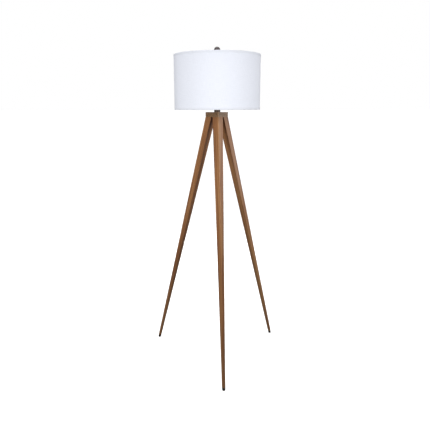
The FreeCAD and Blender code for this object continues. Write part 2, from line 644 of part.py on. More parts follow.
def screw_shell():
    """Threaded cup for the bulb's cap, drawn here without its thread."""
    outer = SCREW_SHELL_BORE + SCREW_SHELL_WALL
    cup = disc(outer, CORE_TOP_Z, SCREW_SHELL_TOP_Z, SCREW_SHELL_BORE)
    cup_floor = disc(outer, CORE_TOP_Z, CORE_TOP_Z + SCREW_SHELL_WALL, SCREW_SHELL_FLOOR_BORE)
    return cup.fuse(cup_floor).removeSplitter()


def centre_contact():
    """Spring tongue under the bulb's tip."""
    start = CORE_TOP_Z
    tip = start + CONTACT_HEIGHT
    corners = [(-4.5, start), (2.5, start), (2.5, start + 0.5), (-3.2, start + 0.5),
               (-2.2, tip - 0.5), (3.0, tip - 0.5), (3.0, tip), (-2.8, tip)]
    points = [FreeCAD.Vector(x, -CONTACT_WIDTH / 2, z) for x, z in corners]
    return Part.Face(Part.makePolygon(points + points[:1])).extrude(FreeCAD.Vector(0, CONTACT_WIDTH, 0))


def switch_shaft():
    start = FreeCAD.Vector(0, -SWITCH_SHAFT_INNER_Y, SWITCH_Z)
    end = FreeCAD.Vector(0, KNOB_FACE - KNOB_INNER_Y - KNOB_LENGTH, SWITCH_Z)
    return rod(SWITCH_SHAFT_RADIUS, start, end)


def switch_knob():
    """Fluted knob on the shaft's end."""
    inner = FreeCAD.Vector(0, -KNOB_INNER_Y, SWITCH_Z)
    outer = FreeCAD.Vector(0, -KNOB_INNER_Y - KNOB_LENGTH, SWITCH_Z)
    knob = rod(KNOB_RADIUS, inner, outer)
    knob = knob.makeFillet(KNOB_ROUNDING, [e for e in knob.Edges if e.Closed])
    collar = FreeCAD.Vector(0, -SPARE, 0)
    for i in range(KNOB_FLUTES):
        a = 2 * math.pi * i / KNOB_FLUTES
        offset = FreeCAD.Vector(math.cos(a), 0, math.sin(a)) * (KNOB_RADIUS + FLUTE_OFFSET)
        knob = knob.cut(rod(FLUTE_RADIUS, inner + offset + collar, outer + offset))
    return knob.cut(switch_shaft())


# Bulb
def bulb_contact():
    return disc(BULB_CONTACT_RADIUS, BULB_CONTACT_Z, BULB_CONTACT_Z + BULB_CONTACT_HEIGHT)


def bulb_insulator():
    """Dark cone between the contact and the cap."""
    z = BULB_CONTACT_Z + BULB_CONTACT_HEIGHT
    rim = BULB_CAP_FLOOR_RADIUS
    shoulder = BULB_CONTACT_RADIUS + 1.2
    return turned([(0, z), (shoulder, z), (rim, BULB_CAP_BOTTOM_Z - 0.2), (rim, BULB_CAP_BOTTOM_Z),
                   (0, BULB_CAP_BOTTOM_Z)])


def bulb_cap():
    """Metal screw cap, drawn here without its thread."""
    wall, hole = BULB_CAP_WALL, BULB_CAP_FLOOR_RADIUS
    r, low, high = BULB_CAP_RADIUS, BULB_CAP_BOTTOM_Z, BULB_CAP_TOP_Z
    return turned([(hole, low), (r - 1, low), (r, low + 1.5), (r, high), (r - wall, high),
                   (r - wall, low + 1.7), (r - 1.2, low + wall), (hole, low + wall)])


def bulb_waist(z):
    """Outer radius of the bulb's body between its cap and its dome."""
    share = (z - BULB_CAP_TOP_Z) / (BULB_JOINT_Z - BULB_CAP_TOP_Z)
    start = BULB_CAP_RADIUS + BULB_STEP
    return start + (BULB_RADIUS - BULB_STEP - start) * math.sin(share * math.pi / 2) ** 0.9


def bulb_body():
    """Plastic body of the bulb, which clasps the cap and houses the driver."""
    wall = BULB_BODY_WALL
    bottom = BULB_CAP_TOP_Z + RUNNING_CLEARANCE
    heights = [bottom + (BULB_JOINT_Z - bottom) * i / 6 for i in range(7)]
    outside = [FreeCAD.Vector(bulb_waist(z), 0, z) for z in heights]
    inside = [FreeCAD.Vector(bulb_waist(z) - wall, 0, z) for z in reversed(heights[1:])]
    inside.append(FreeCAD.Vector(bulb_waist(heights[0]) - wall - 1, 0, bottom + wall))
    outer_curve, inner_curve = Part.BSplineCurve(), Part.BSplineCurve()
    outer_curve.interpolate(outside)
    inner_curve.interpolate(inside)
    spigot = [inside[-1], FreeCAD.Vector(0, 0, bottom + wall), FreeCAD.Vector(0, 0, bottom), outside[0]]
    lip = Part.LineSegment(outside[-1], inside[0]).toShape()
    edges = [outer_curve.toShape(), lip, inner_curve.toShape()]
    edges += [Part.LineSegment(a, b).toShape() for a, b in zip(spigot, spigot[1:])]
    return Part.Face(Part.Wire(edges)).revolve(FreeCAD.Vector(0, 0, 0), UP, 360)


def bulb_dome():
    """Opal cover: a thin sphere cut off where it meets the body."""
    centre = FreeCAD.Vector(0, 0, BULB_CENTRE_Z)
    ball = Part.makeSphere(BULB_RADIUS, centre).cut(Part.makeSphere(BULB_RADIUS - BULB_WALL, centre))
    return ball.cut(disc(BULB_RADIUS + SPARE, BULB_JOINT_Z - BULB_RADIUS, BULB_JOINT_Z))


def led_board():
    """Metal-cored board across the body's mouth, with its ring of chips."""
    bottom = BULB_CENTRE_Z - BOARD_DROP
    top = bottom + BOARD_THICKNESS
    corner = FreeCAD.Vector(-CHIP_SIDE / 2, CHIP_RING_RADIUS - CHIP_SIDE / 2, top)
    chips = [Part.makeBox(CHIP_SIDE, CHIP_SIDE, CHIP_HEIGHT, corner) for _ in range(CHIP_COUNT)]
    for i, chip in enumerate(chips):
        chip.rotate(FreeCAD.Vector(0, 0, 0), UP, 360 * i / CHIP_COUNT)
    return disc(BOARD_RADIUS, bottom, top).fuse(chips)


# Drum shade
def ring_z(is_top):
    return SHADE_TOP_Z - RING_INSET_Z if is_top else SHADE_BOTTOM_Z + RING_INSET_Z


def shade_ring(is_top):
    return Part.makeTorus(RING_RADIUS, RING_WIRE_RADIUS, FreeCAD.Vector(0, 0, ring_z(is_top)))


def spider_arm(azimuth):
    """Wire from the washer out to the top ring, coped to both."""
    start = at(SPIDER_ARM_START, azimuth, SPIDER_TOP_Z + SPIDER_ARM_RADIUS)
    end = at(RING_RADIUS, azimuth, ring_z(True))
    return rod(SPIDER_ARM_RADIUS, start, end).cut(shade_ring(True)).cut(spider_washer())


def spider_arms():
    """The coped arms, without the stubs beyond the ring."""
    return [max(spider_arm(a).Solids, key=lambda s: s.Volume) for a in SPIDER_ARM_AZIMUTHS]


def spider_washer():
    return disc(SPIDER_WASHER_RADIUS, SPIDER_BOTTOM_Z, SPIDER_TOP_Z, SPIDER_WASHER_BORE)


def shade_wall(radius, thickness):
    """Thin cylinder between the two trims' webs."""
    return disc(radius, SHADE_BOTTOM_Z + TRIM_THICKNESS, SHADE_TOP_Z - TRIM_THICKNESS, radius - thickness)


def shade_trim(is_top):
    """Tape folded over the wall's edge and round the wire ring."""
    edge = SHADE_TOP_Z if is_top else SHADE_BOTTOM_Z
    inward = -1 if is_top else 1
    outer_z, inner_z = edge + inward * TRIM_HEIGHT, edge + inward * TRIM_INNER_HEIGHT
    web_z = edge + inward * TRIM_THICKNESS
    cover = TRIM_INNER_RADIUS + TRIM_THICKNESS
    tape = turned([(SHADE_RADIUS, edge), (SHADE_RADIUS, outer_z), (FABRIC_RADIUS, outer_z),
                   (FABRIC_RADIUS, web_z), (cover, web_z), (cover, inner_z),
                   (TRIM_INNER_RADIUS, inner_z), (TRIM_INNER_RADIUS, edge)])
    if is_top:
        for arm in spider_arms():
            tape = tape.cut(arm)
    return tape


# Finial
def finial_ball():
    """Ball on a waisted foot, bored for its brass thread."""
    z0 = FINIAL_BASE_Z
    z1 = z0 + FINIAL_BASE_HEIGHT
    meet_z = FINIAL_BALL_Z - math.sqrt(FINIAL_BALL_RADIUS ** 2 - FINIAL_NECK_RADIUS ** 2)
    foot = disc(FINIAL_BASE_RADIUS, z0, z1)
    foot = foot.makeFillet(FINIAL_BASE_ROUNDING, [e for e in foot.Edges if e.Closed])
    wide = FINIAL_NECK_RADIUS + FINIAL_COVE
    neck = turned([(0, z1 - 1), (wide, z1 - 1), (wide, z1 + 0.6), (FINIAL_NECK_RADIUS, z1 + 2.2),
                   (FINIAL_NECK_RADIUS, meet_z + 1), (0, meet_z + 1)])
    ball = Part.makeSphere(FINIAL_BALL_RADIUS, FreeCAD.Vector(0, 0, FINIAL_BALL_Z))
    solid = foot.fuse([neck, ball])
    bore_top = z0 + FINIAL_INSERT_LENGTH + FINIAL_BORE_SPARE
    return solid.cut(disc(FINIAL_INSERT_RADIUS + RUNNING_CLEARANCE, z0, bore_top)).removeSplitter()


def finial_insert():
    bottom = FINIAL_BASE_Z + FINIAL_INSERT_SINK
    return disc(FINIAL_INSERT_RADIUS, bottom, bottom + FINIAL_INSERT_LENGTH, FINIAL_INSERT_BORE)


# Assembly
def nodes():
    """Every node's name and shape."""
    azimuths = list(LEG_AZIMUTHS.values())
    made = {"hub_block": hub_block()}
    for name, azimuth in LEG_AZIMUTHS.items():
        made["leg_" + name] = leg(azimuth)
        made["foot_glide_" + name] = foot_glide(azimuth)
    made["foot_nails"] = group([foot_nail(a) for a in azimuths])
    made["leg_bolts"] = group([leg_bolt(a) for a in azimuths])
    made["leg_bolt_washers"] = group([leg_bolt_washer(a) for a in azimuths])
    made["leg_inserts"] = group([leg_insert(a) for a in azimuths])
    made["leg_dowels"] = group([d for a in azimuths for d in dowels(a)])
    builders = [threaded_pipe, pipe_washer, pipe_nut, cord_bushing, neck_collar, harp_saddle, socket_cap,
                cap_set_screw, socket_shell, socket_liner, socket_core, screw_shell, centre_contact,
                harp_bow, harp_swivel, switch_shaft, switch_knob, bulb_contact, bulb_insulator, bulb_cap,
                bulb_body, bulb_dome, led_board, spider_washer, finial_ball, finial_insert]
    for builder in builders:
        made[builder.__name__] = builder()
    made["terminal_screws"] = group(terminal_screws())
    made["ferrule_left"] = ferrule(-1)
    made["ferrule_right"] = ferrule(1)
    made["spider_arms"] = group(spider_arms())
    made["top_ring"] = shade_ring(True)
    made["bottom_ring"] = shade_ring(False)
    made["shade_fabric"] = shade_wall(FABRIC_RADIUS, FABRIC_THICKNESS)
    made["shade_liner"] = shade_wall(LINER_RADIUS, LINER_THICKNESS)
    made["shade_trim_top"] = shade_trim(True)
    made["shade_trim_bottom"] = shade_trim(False)
    return made


def main():
    os.makedirs("parts", exist_ok=True)
    for name, shape in nodes().items():
        faults = [i for i, s in enumerate(shape.Solids) if not s.isValid() or s.Volume <= 0]
        print(f"{name:20s} solids {len(shape.Solids)}  volume {shape.Volume:10.1f}  faults {faults}")
        shape.exportStep(f"parts/{name}.step")


main()
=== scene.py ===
import bpy
import math
from mathutils import Matrix, Vector


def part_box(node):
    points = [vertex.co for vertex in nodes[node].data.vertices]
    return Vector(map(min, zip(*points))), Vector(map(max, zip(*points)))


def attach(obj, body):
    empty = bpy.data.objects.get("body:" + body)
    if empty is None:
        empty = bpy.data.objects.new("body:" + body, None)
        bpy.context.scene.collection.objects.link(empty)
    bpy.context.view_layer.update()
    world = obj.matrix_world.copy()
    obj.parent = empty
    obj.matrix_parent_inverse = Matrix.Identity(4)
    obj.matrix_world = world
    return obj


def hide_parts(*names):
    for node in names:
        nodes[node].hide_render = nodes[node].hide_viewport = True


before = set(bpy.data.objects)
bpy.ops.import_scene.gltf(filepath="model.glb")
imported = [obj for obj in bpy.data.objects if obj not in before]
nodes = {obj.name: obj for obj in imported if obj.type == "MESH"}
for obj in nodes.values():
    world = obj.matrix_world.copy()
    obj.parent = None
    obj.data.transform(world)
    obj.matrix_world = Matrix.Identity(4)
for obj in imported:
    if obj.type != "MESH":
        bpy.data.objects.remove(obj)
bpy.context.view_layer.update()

mm = 0.001
softEdge = 35      # edges that turn by fewer degrees than this are smoothed
print("frame loaded:", len(nodes), "nodes")


# Small helpers

def linearColour(hexCode):
    # sRGB hex to linear RGBA
    channels = [int(hexCode[i:i + 2], 16) / 255 for i in (1, 3, 5)]
    return [c / 12.92 if c <= 0.04045 else ((c + 0.055) / 1.055) ** 2.4 for c in channels] + [1.0]


def addNode(tree, kind, settings=None, inputs=None):
    # one node, with its settings, its values and its incoming links
    node = tree.nodes.new(kind)
    for key, value in (settings or {}).items():
        if key == "stops":
            ramp = node.color_ramp
            while len(ramp.elements) < len(value):
                ramp.elements.new(0.5)
            for element, (place, colour) in zip(ramp.elements, value):
                element.position = place
                element.color = linearColour(colour)
        else:
            setattr(node, key, value)
    for key, value in (inputs or {}).items():
        socket = node.inputs[key]
        if isinstance(value, bpy.types.NodeSocket):
            tree.links.new(value, socket)
        else:
            socket.default_value = value
    return node


def startMaterial(name):
    material = bpy.data.materials.new(name)
    material.use_nodes = True
    material.node_tree.nodes.clear()
    return material, material.node_tree


def endMaterial(tree, surface):
    addNode(tree, "ShaderNodeOutputMaterial", inputs={"Surface": surface.outputs[0]})


def dress(nodeNames, material):
    # gives a CAD node its finish through the object's own slots
    for name in nodeNames:
        piece = nodes[name]
        if not piece.material_slots:
            piece.data.materials.append(None)
        for holder in piece.material_slots:
            holder.link = "OBJECT"
            holder.material = material


def finishPiece(piece, body, replaced, material=None):
    if material:
        piece.data.materials.clear()
        piece.data.materials.append(material)
    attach(piece, body)
    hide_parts(*replaced)
    return piece


def meshObject(name, vertices, faces):
    mesh = bpy.data.meshes.new(name)
    mesh.from_pydata([tuple(v) for v in vertices], [], faces)
    mesh.validate()
    mesh.polygons.foreach_set("use_smooth", [True] * len(mesh.polygons))
    mesh.set_sharp_from_angle(angle=math.radians(softEdge))
    piece = bpy.data.objects.new(name, mesh)
    bpy.context.scene.collection.objects.link(piece)
    return piece


def signedVolume(vertices, faces):
    total = 0.0
    for face in faces:
        a = Vector(vertices[face[0]])
        for i in range(1, len(face) - 1):
            total += a.dot(Vector(vertices[face[i]]).cross(Vector(vertices[face[i + 1]])))
    return total


def lathe(name, outline, segments):
    # turns a closed outline of (radius, height) about the lamp's axis, in metres
    vertices, rings = [], []
    for r, z in outline:
        if r < 1e-6:
            rings.append([len(vertices)] * segments)
            vertices.append((0.0, 0.0, z))
            continue
        rings.append(list(range(len(vertices), len(vertices) + segments)))
        for k in range(segments):
            a = 2 * math.pi * k / segments
            vertices.append((r * math.cos(a), r * math.sin(a), z))
    faces = []
    for i in range(len(rings)):
        one, two = rings[i], rings[(i + 1) % len(rings)]
        if one[0] == one[1] and two[0] == two[1]:
            continue
        for k in range(segments):
            n = (k + 1) % segments
            corners = [one[k], one[n], two[n], two[k]]
            faces.append([v for j, v in enumerate(corners) if v not in corners[:j]])
    if signedVolume(vertices, faces) < 0:
        faces = [face[::-1] for face in faces]
    return meshObject(name, vertices, faces)


def arc(middle, radius, start, end, steps):
    # points on part of a circle, by angles from the outward direction
    angles = [start + (end - start) * s / steps for s in range(steps + 1)]
    return [(middle[0] + radius * math.cos(a), middle[1] + radius * math.sin(a)) for a in angles]


def rounded(corners, easings, steps=5):
    # a closed outline with each corner eased by its own amount, and by less than half of a side
    result = []
    count = len(corners)
    for i in range(count):
        before, here, after = (Vector(corners[(i + d) % count]) for d in (-1, 0, 1))
        ease = min(easings[i], (before - here).length * 0.45, (after - here).length * 0.45)
        if ease < 1e-6:
            result.append(tuple(here))
            continue
        start = here + (before - here).normalized() * ease
        end = here + (after - here).normalized() * ease
        for s in range(steps + 1):
            t = s / steps
            result.append(tuple(start * (1 - t) ** 2 + here * 2 * t * (1 - t) + end * t ** 2))
    return result


# Geometry Nodes: each rule is one tree, run on a drawn outline or path, and its result is kept as plain mesh

pathRadius = 1 * mm      # the little circle an outline is swept round
roundSides = 72      # facets round a small turned piece


def startTree(name, counts, measures):
    # a tree with a named input for each size: whole numbers first, then measures
    tree = bpy.data.node_groups.new(name, "GeometryNodeTree")
    labels = [("Drawing", "Geometry"), ("Finish", "Material")]
    labels += [(label, "Int") for label in counts] + [(label, "Float") for label in measures]
    for label, kind in labels:
        tree.interface.new_socket(label, in_out="INPUT", socket_type="NodeSocket" + kind)
    tree.interface.new_socket("Piece", in_out="OUTPUT", socket_type="NodeSocketGeometry")
    return tree, addNode(tree, "NodeGroupInput").outputs


def endTree(tree, given, piece):
    real = addNode(tree, "GeometryNodeRealizeInstances", {}, {0: piece})
    coated = addNode(tree, "GeometryNodeSetMaterial", {}, {0: real.outputs[0], "Material": given["Finish"]})
    addNode(tree, "NodeGroupOutput", {}, {0: coated.outputs[0]})
    return tree


def repeatRound(tree, shape, count):
    # copies of a shape at even steps round the axis
    spots = addNode(tree, "GeometryNodeMeshLine", {}, {"Count": count, "Offset": (0, 0, 0)})
    number = addNode(tree, "GeometryNodeInputIndex")
    portion = addNode(tree, "ShaderNodeMath", {"operation": "DIVIDE"}, {0: number.outputs[0], 1: count})
    turn = addNode(tree, "ShaderNodeMath", {"operation": "MULTIPLY"},
                   {0: portion.outputs[0], 1: 2 * math.pi})
    spin = addNode(tree, "ShaderNodeCombineXYZ", {}, {"Z": turn.outputs[0]})
    copies = addNode(tree, "GeometryNodeInstanceOnPoints", {},
                     {"Points": spots.outputs[0], "Instance": shape, "Rotation": spin.outputs[0]})
    return copies.outputs[0]


def runTree(tree, name, finish, values, points, closed=True, smoothAngle=softEdge):
    count = len(points)
    edges = [(k, k + 1) for k in range(count - 1)] + ([(count - 1, 0)] if closed else [])
    drawing = bpy.data.meshes.new(name + "Drawing")
    drawing.from_pydata(points, edges, [])
    host = bpy.data.objects.new(name + "Host", drawing)
    bpy.context.scene.collection.objects.link(host)
    grower = host.modifiers.new(name, "NODES")
    grower.node_group = tree
    for socket in tree.interface.items_tree:
        if socket.name == "Finish":
            grower[socket.identifier] = finish
        elif socket.name in values:
            grower[socket.identifier] = values[socket.name]
    grown = host.evaluated_get(bpy.context.evaluated_depsgraph_get())
    mesh = bpy.data.meshes.new_from_object(grown)
    host.modifiers.remove(grower)
    bpy.data.objects.remove(host)
    mesh.name = name
    mesh.materials.clear()
    mesh.materials.append(finish)
    mesh.polygons.foreach_set("material_index", [0] * len(mesh.polygons))
    corners = [tuple(v.co) for v in mesh.vertices]
    if signedVolume(corners, [tuple(face.vertices) for face in mesh.polygons]) < 0:
        mesh.flip_normals()
    mesh.polygons.foreach_set("use_smooth", [True] * len(mesh.polygons))
    mesh.set_sharp_from_angle(angle=math.radians(smoothAngle))
    piece = bpy.data.objects.new(name, mesh)
    bpy.context.scene.collection.objects.link(piece)
    return piece


def turnedTree():
    # sweeps an outline round the axis, then draws its skin in by a wave that may run round it, as flutes do,
    # climb it, as a thread does, or have no depth at all
    tree, given = startTree("turnedPiece", ["Segments"],
                            ["Wave depth", "Waves round", "Turns per metre", "Core radius", "Low end",
                             "High end", "Lead-in"])
    outline = addNode(tree, "GeometryNodeMeshToCurve", {}, {0: given["Drawing"]})
    circle = addNode(tree, "GeometryNodeCurvePrimitiveCircle", {},
                     {"Resolution": given["Segments"], "Radius": pathRadius})
    swept = addNode(tree, "GeometryNodeCurveToMesh", {},
                    {0: circle.outputs[0], "Profile Curve": outline.outputs[0]})
    place = addNode(tree, "GeometryNodeInputPosition")
    axes = addNode(tree, "ShaderNodeSeparateXYZ", {}, {0: place.outputs[0]})
    level = addNode(tree, "ShaderNodeCombineXYZ", {}, {"X": axes.outputs["X"], "Y": axes.outputs["Y"]})
    outward = addNode(tree, "ShaderNodeVectorMath", {"operation": "NORMALIZE"}, {0: level.outputs[0]})
    reach = addNode(tree, "ShaderNodeVectorMath", {"operation": "LENGTH"}, {0: level.outputs[0]})
    angle = addNode(tree, "ShaderNodeMath", {"operation": "ARCTAN2"},
                    {0: axes.outputs["Y"], 1: axes.outputs["X"]})
    around = addNode(tree, "ShaderNodeMath", {"operation": "MULTIPLY"},
                     {0: angle.outputs[0], 1: given["Waves round"]})
    turns = addNode(tree, "ShaderNodeMath", {"operation": "MULTIPLY"},
                    {0: axes.outputs["Z"], 1: given["Turns per metre"]})
    phase = addNode(tree, "ShaderNodeMath", {"operation": "MULTIPLY_ADD"},
                    {0: turns.outputs[0], 1: 2 * math.pi, 2: around.outputs[0]})
    wave = addNode(tree, "ShaderNodeMath", {"operation": "COSINE"}, {0: phase.outputs[0]})
    # a crest stays where it is, and a trough goes in by the whole depth
    drawnIn = addNode(tree, "ShaderNodeMath", {"operation": "MULTIPLY_ADD"},
                      {0: wave.outputs[0], 1: -0.5, 2: 0.5})
    fades = []
    for first, second in ((axes.outputs["Z"], given["Low end"]), (given["High end"], axes.outputs["Z"])):
        gap = addNode(tree, "ShaderNodeMath", {"operation": "SUBTRACT"}, {0: first, 1: second})
        fade = addNode(tree, "ShaderNodeMath", {"operation": "DIVIDE", "use_clamp": True},
                       {0: gap.outputs[0], 1: given["Lead-in"]})
        fades.append(fade.outputs[0])
    outside = addNode(tree, "ShaderNodeMath", {"operation": "GREATER_THAN"},
                      {0: reach.outputs["Value"], 1: given["Core radius"]})
    depth = addNode(tree, "ShaderNodeMath", {"operation": "MULTIPLY"},
                    {0: outside.outputs[0], 1: given["Wave depth"]})
    for factor in (drawnIn.outputs[0], *fades, -1.0):
        depth = addNode(tree, "ShaderNodeMath", {"operation": "MULTIPLY"}, {0: depth.outputs[0], 1: factor})
    shift = addNode(tree, "ShaderNodeVectorMath", {"operation": "SCALE"},
                    {0: outward.outputs[0], "Scale": depth.outputs[0]})
    shaped = addNode(tree, "GeometryNodeSetPosition", {}, {0: swept.outputs[0], "Offset": shift.outputs[0]})
    # joins the points where an outline meets the axis
    joined = addNode(tree, "GeometryNodeMergeByDistance", {}, {0: shaped.outputs[0], "Distance": 0.002 * mm})
    return endTree(tree, given, joined.outputs[0])


wireShape = {"sides": 20, "flatFade": 1.8}      # a beaten part is round again at this many times its reach


def wireTree():
    # draws round wire along a path, beats it flat near the axis where asked, and repeats it round the axis
    tree, given = startTree("bentWire", ["Copies"],
                            ["Wire radius", "Flat reach", "Flat share", "Flat height"])
    path = addNode(tree, "GeometryNodeMeshToCurve", {}, {0: given["Drawing"]})
    section = addNode(tree, "GeometryNodeCurvePrimitiveCircle", {},
                      {"Resolution": wireShape["sides"], "Radius": given["Wire radius"]})
    wire = addNode(tree, "GeometryNodeCurveToMesh", {},
                   {0: path.outputs[0], "Profile Curve": section.outputs[0], "Fill Caps": True})
    place = addNode(tree, "GeometryNodeInputPosition")
    axes = addNode(tree, "ShaderNodeSeparateXYZ", {}, {0: place.outputs[0]})
    farEnd = addNode(tree, "ShaderNodeMath", {"operation": "MULTIPLY"},
                     {0: given["Flat reach"], 1: wireShape["flatFade"]})
    share = addNode(tree, "ShaderNodeMapRange", {"interpolation_type": "SMOOTHSTEP"},
                    {"Value": axes.outputs["X"], "From Min": given["Flat reach"],
                     "From Max": farEnd.outputs[0], "To Min": given["Flat share"], "To Max": 1.0})
    above = addNode(tree, "ShaderNodeMath", {"operation": "SUBTRACT"},
                    {0: axes.outputs["Z"], 1: given["Flat height"]})
    beaten = addNode(tree, "ShaderNodeMath", {"operation": "MULTIPLY_ADD"},
                     {0: above.outputs[0], 1: share.outputs[0], 2: given["Flat height"]})
    target = addNode(tree, "ShaderNodeCombineXYZ", {},
                     {"X": axes.outputs["X"], "Y": axes.outputs["Y"], "Z": beaten.outputs[0]})
    shaped = addNode(tree, "GeometryNodeSetPosition", {},
                     {0: wire.outputs[0], "Position": target.outputs[0]})
    return endTree(tree, given, repeatRound(tree, shaped.outputs[0], given["Copies"]))


# how far the lap lifts, in wall thicknesses, and the share of the turn it takes to lift
wallShape = {"lift": 1.05, "climb": 0.02}


def wallTree():
    # bends a wall of even thickness round the axis until it laps over its own start
    tree, given = startTree("lappedWall", ["Steps", "Rows"],
                            ["Radius", "Thickness", "Bottom", "Height", "Start", "Overlap", "Climb start"])
    line = addNode(tree, "GeometryNodeCurvePrimitiveLine", {}, {"End": (0, 0, 1)})
    stepped = addNode(tree, "GeometryNodeResampleCurve", {"mode": "COUNT"},
                      {0: line.outputs[0], "Count": given["Steps"]})
    along = addNode(tree, "GeometryNodeSplineParameter")
    sweep = addNode(tree, "ShaderNodeMath", {"operation": "ADD"}, {0: given["Overlap"], 1: 2 * math.pi})
    angle = addNode(tree, "ShaderNodeMath", {"operation": "MULTIPLY_ADD"},
                    {0: along.outputs["Factor"], 1: sweep.outputs[0], 2: given["Start"]})
    lift = addNode(tree, "ShaderNodeMath", {"operation": "MULTIPLY"},
                   {0: given["Thickness"], 1: wallShape["lift"]})
    climbed = addNode(tree, "ShaderNodeMath", {"operation": "ADD"},
                      {0: given["Climb start"], 1: wallShape["climb"]})
    rise = addNode(tree, "ShaderNodeMapRange", {"interpolation_type": "SMOOTHSTEP"},
                   {"Value": along.outputs["Factor"], "From Min": given["Climb start"],
                    "From Max": climbed.outputs[0], "To Min": 0.0, "To Max": lift.outputs[0]})
    radius = addNode(tree, "ShaderNodeMath", {"operation": "ADD"}, {0: given["Radius"], 1: rise.outputs[0]})
    middle = addNode(tree, "ShaderNodeMath", {"operation": "MULTIPLY_ADD"},
                     {0: given["Height"], 1: 0.5, 2: given["Bottom"]})
    shares = {}
    for axis, operation in (("X", "COSINE"), ("Y", "SINE")):
        part = addNode(tree, "ShaderNodeMath", {"operation": operation}, {0: angle.outputs[0]})
        reach = addNode(tree, "ShaderNodeMath", {"operation": "MULTIPLY"},
                        {0: part.outputs[0], 1: radius.outputs[0]})
        shares[axis] = reach.outputs[0]
    spot = addNode(tree, "ShaderNodeCombineXYZ", {}, {**shares, "Z": middle.outputs[0]})
    bent = addNode(tree, "GeometryNodeSetPosition", {}, {0: stepped.outputs[0], "Position": spot.outputs[0]})
    upright = addNode(tree, "GeometryNodeSetCurveNormal", {"mode": "Z_UP"}, {0: bent.outputs[0]})
    section = addNode(tree, "GeometryNodeCurvePrimitiveQuadrilateral", {},
                      {"Width": given["Thickness"], "Height": given["Height"]})
    rowed = addNode(tree, "GeometryNodeSubdivideCurve", {}, {0: section.outputs[0], "Cuts": given["Rows"]})
    wall = addNode(tree, "GeometryNodeCurveToMesh", {},
                   {0: upright.outputs[0], "Profile Curve": rowed.outputs[0], "Fill Caps": True})
    return endTree(tree, given, wall.outputs[0])


def boardTree():
    # a round board with square chips set at even steps round it
    tree, given = startTree("chipBoard", ["Chips"],
                            ["Board radius", "Board thickness", "Bottom", "Chip side", "Chip height",
                             "Ring radius"])
    middle = addNode(tree, "ShaderNodeMath", {"operation": "MULTIPLY_ADD"},
                     {0: given["Board thickness"], 1: 0.5, 2: given["Bottom"]})
    boardSpot = addNode(tree, "ShaderNodeCombineXYZ", {}, {"Z": middle.outputs[0]})
    board = addNode(tree, "GeometryNodeMeshCylinder", {},
                    {"Vertices": roundSides, "Radius": given["Board radius"],
                     "Depth": given["Board thickness"]})
    laid = addNode(tree, "GeometryNodeTransform", {},
                   {0: board.outputs[0], "Translation": boardSpot.outputs[0]})
    size = addNode(tree, "ShaderNodeCombineXYZ", {},
                   {"X": given["Chip side"], "Y": given["Chip side"], "Z": given["Chip height"]})
    chip = addNode(tree, "GeometryNodeMeshCube", {}, {"Size": size.outputs[0]})
    top = addNode(tree, "ShaderNodeMath", {"operation": "ADD"},
                  {0: given["Board thickness"], 1: given["Bottom"]})
    chipMiddle = addNode(tree, "ShaderNodeMath", {"operation": "MULTIPLY_ADD"},
                         {0: given["Chip height"], 1: 0.5, 2: top.outputs[0]})
    chipSpot = addNode(tree, "ShaderNodeCombineXYZ", {},
                       {"X": given["Ring radius"], "Z": chipMiddle.outputs[0]})
    placed = addNode(tree, "GeometryNodeTransform", {},
                     {0: chip.outputs[0], "Translation": chipSpot.outputs[0]})
    both = addNode(tree, "GeometryNodeJoinGeometry", {}, {0: laid.outputs[0]})
    tree.links.new(repeatRound(tree, placed.outputs[0], given["Chips"]), both.inputs[0])
    return endTree(tree, given, both.outputs[0])


turnedRule, wireRule, wallRule, boardRule = turnedTree(), wireTree(), wallTree(), boardTree()
# a plain turned piece: a wave of no depth, and ends far past the piece
plainTurned = {"Segments": 96, "Wave depth": 0.0, "Waves round": 0.0, "Turns per metre": 0.0,
               "Core radius": 0.0, "Low end": -10.0, "High end": 10.0, "Lead-in": 1.0}


def sweepRound(name, finish, outline, values=None, smoothAngle=softEdge):
    # the sweep lays an outline's second number downwards; one that starts on the axis also ends there
    points = [(r - pathRadius, -z, 0) for r, z in outline]
    sizes = {**plainTurned, **(values or {})}
    return runTree(turnedRule, name, finish, sizes, points, outline[0][0] > 0, smoothAngle)


print("rules grown")


# Camera, at eye height in front of the lamp, a few degrees round to the lamp's left foot

cameraRig = {"place": (-0.1727, -2.2480, 1.2546), "lens": 39.13, "sensor": 36.0, "pitch": 12.955,
             "yaw": -4.09, "roll": -0.159}


def makeCamera():
    data = bpy.data.cameras.new("camera")
    data.lens = cameraRig["lens"]
    data.sensor_width = cameraRig["sensor"]
    camera = bpy.data.objects.new("camera", data)
    turn = Matrix.Rotation(math.radians(cameraRig["yaw"]), 4, "Z")
    turn = turn @ Matrix.Rotation(math.radians(90 - cameraRig["pitch"]), 4, "X")
    turn = turn @ Matrix.Rotation(math.radians(cameraRig["roll"]), 4, "Z")
    camera.matrix_world = Matrix.Translation(cameraRig["place"]) @ turn
    bpy.context.scene.collection.objects.link(camera)
    bpy.context.scene.camera = camera


makeCamera()
print("camera placed")


# Wood

walnut = {"leg": ("#74472A", "#9A683F", "#B48456"), "block": ("#6E533A", "#8F6E4E", "#A6815E"),
          "toneStops": (0.3, 0.5, 0.7), "bandWidth": 7 * mm, "poreWidth": 1.1 * mm, "poreDepth": 0.15 * mm,
          "poreEdges": (0.34, 0.46), "poreDark": 0.84, "grainStretch": 0.018, "cloudScale": 0.22,
          "cloudShare": 0.45, "cloudMean": 0.22, "roughness": 0.46, "roughSpread": (0.1, 0.06),
          "gloss": 0.4, "lacquer": 0.08, "lacquerRoughness": 0.35, "topRadius": 33 * mm}
legAzimuths = {"front": -90, "right": 30, "left": 150}
legSeedStep, blockSeed = 0.31, 1.7      # where in the pattern each stick and the block are cut from


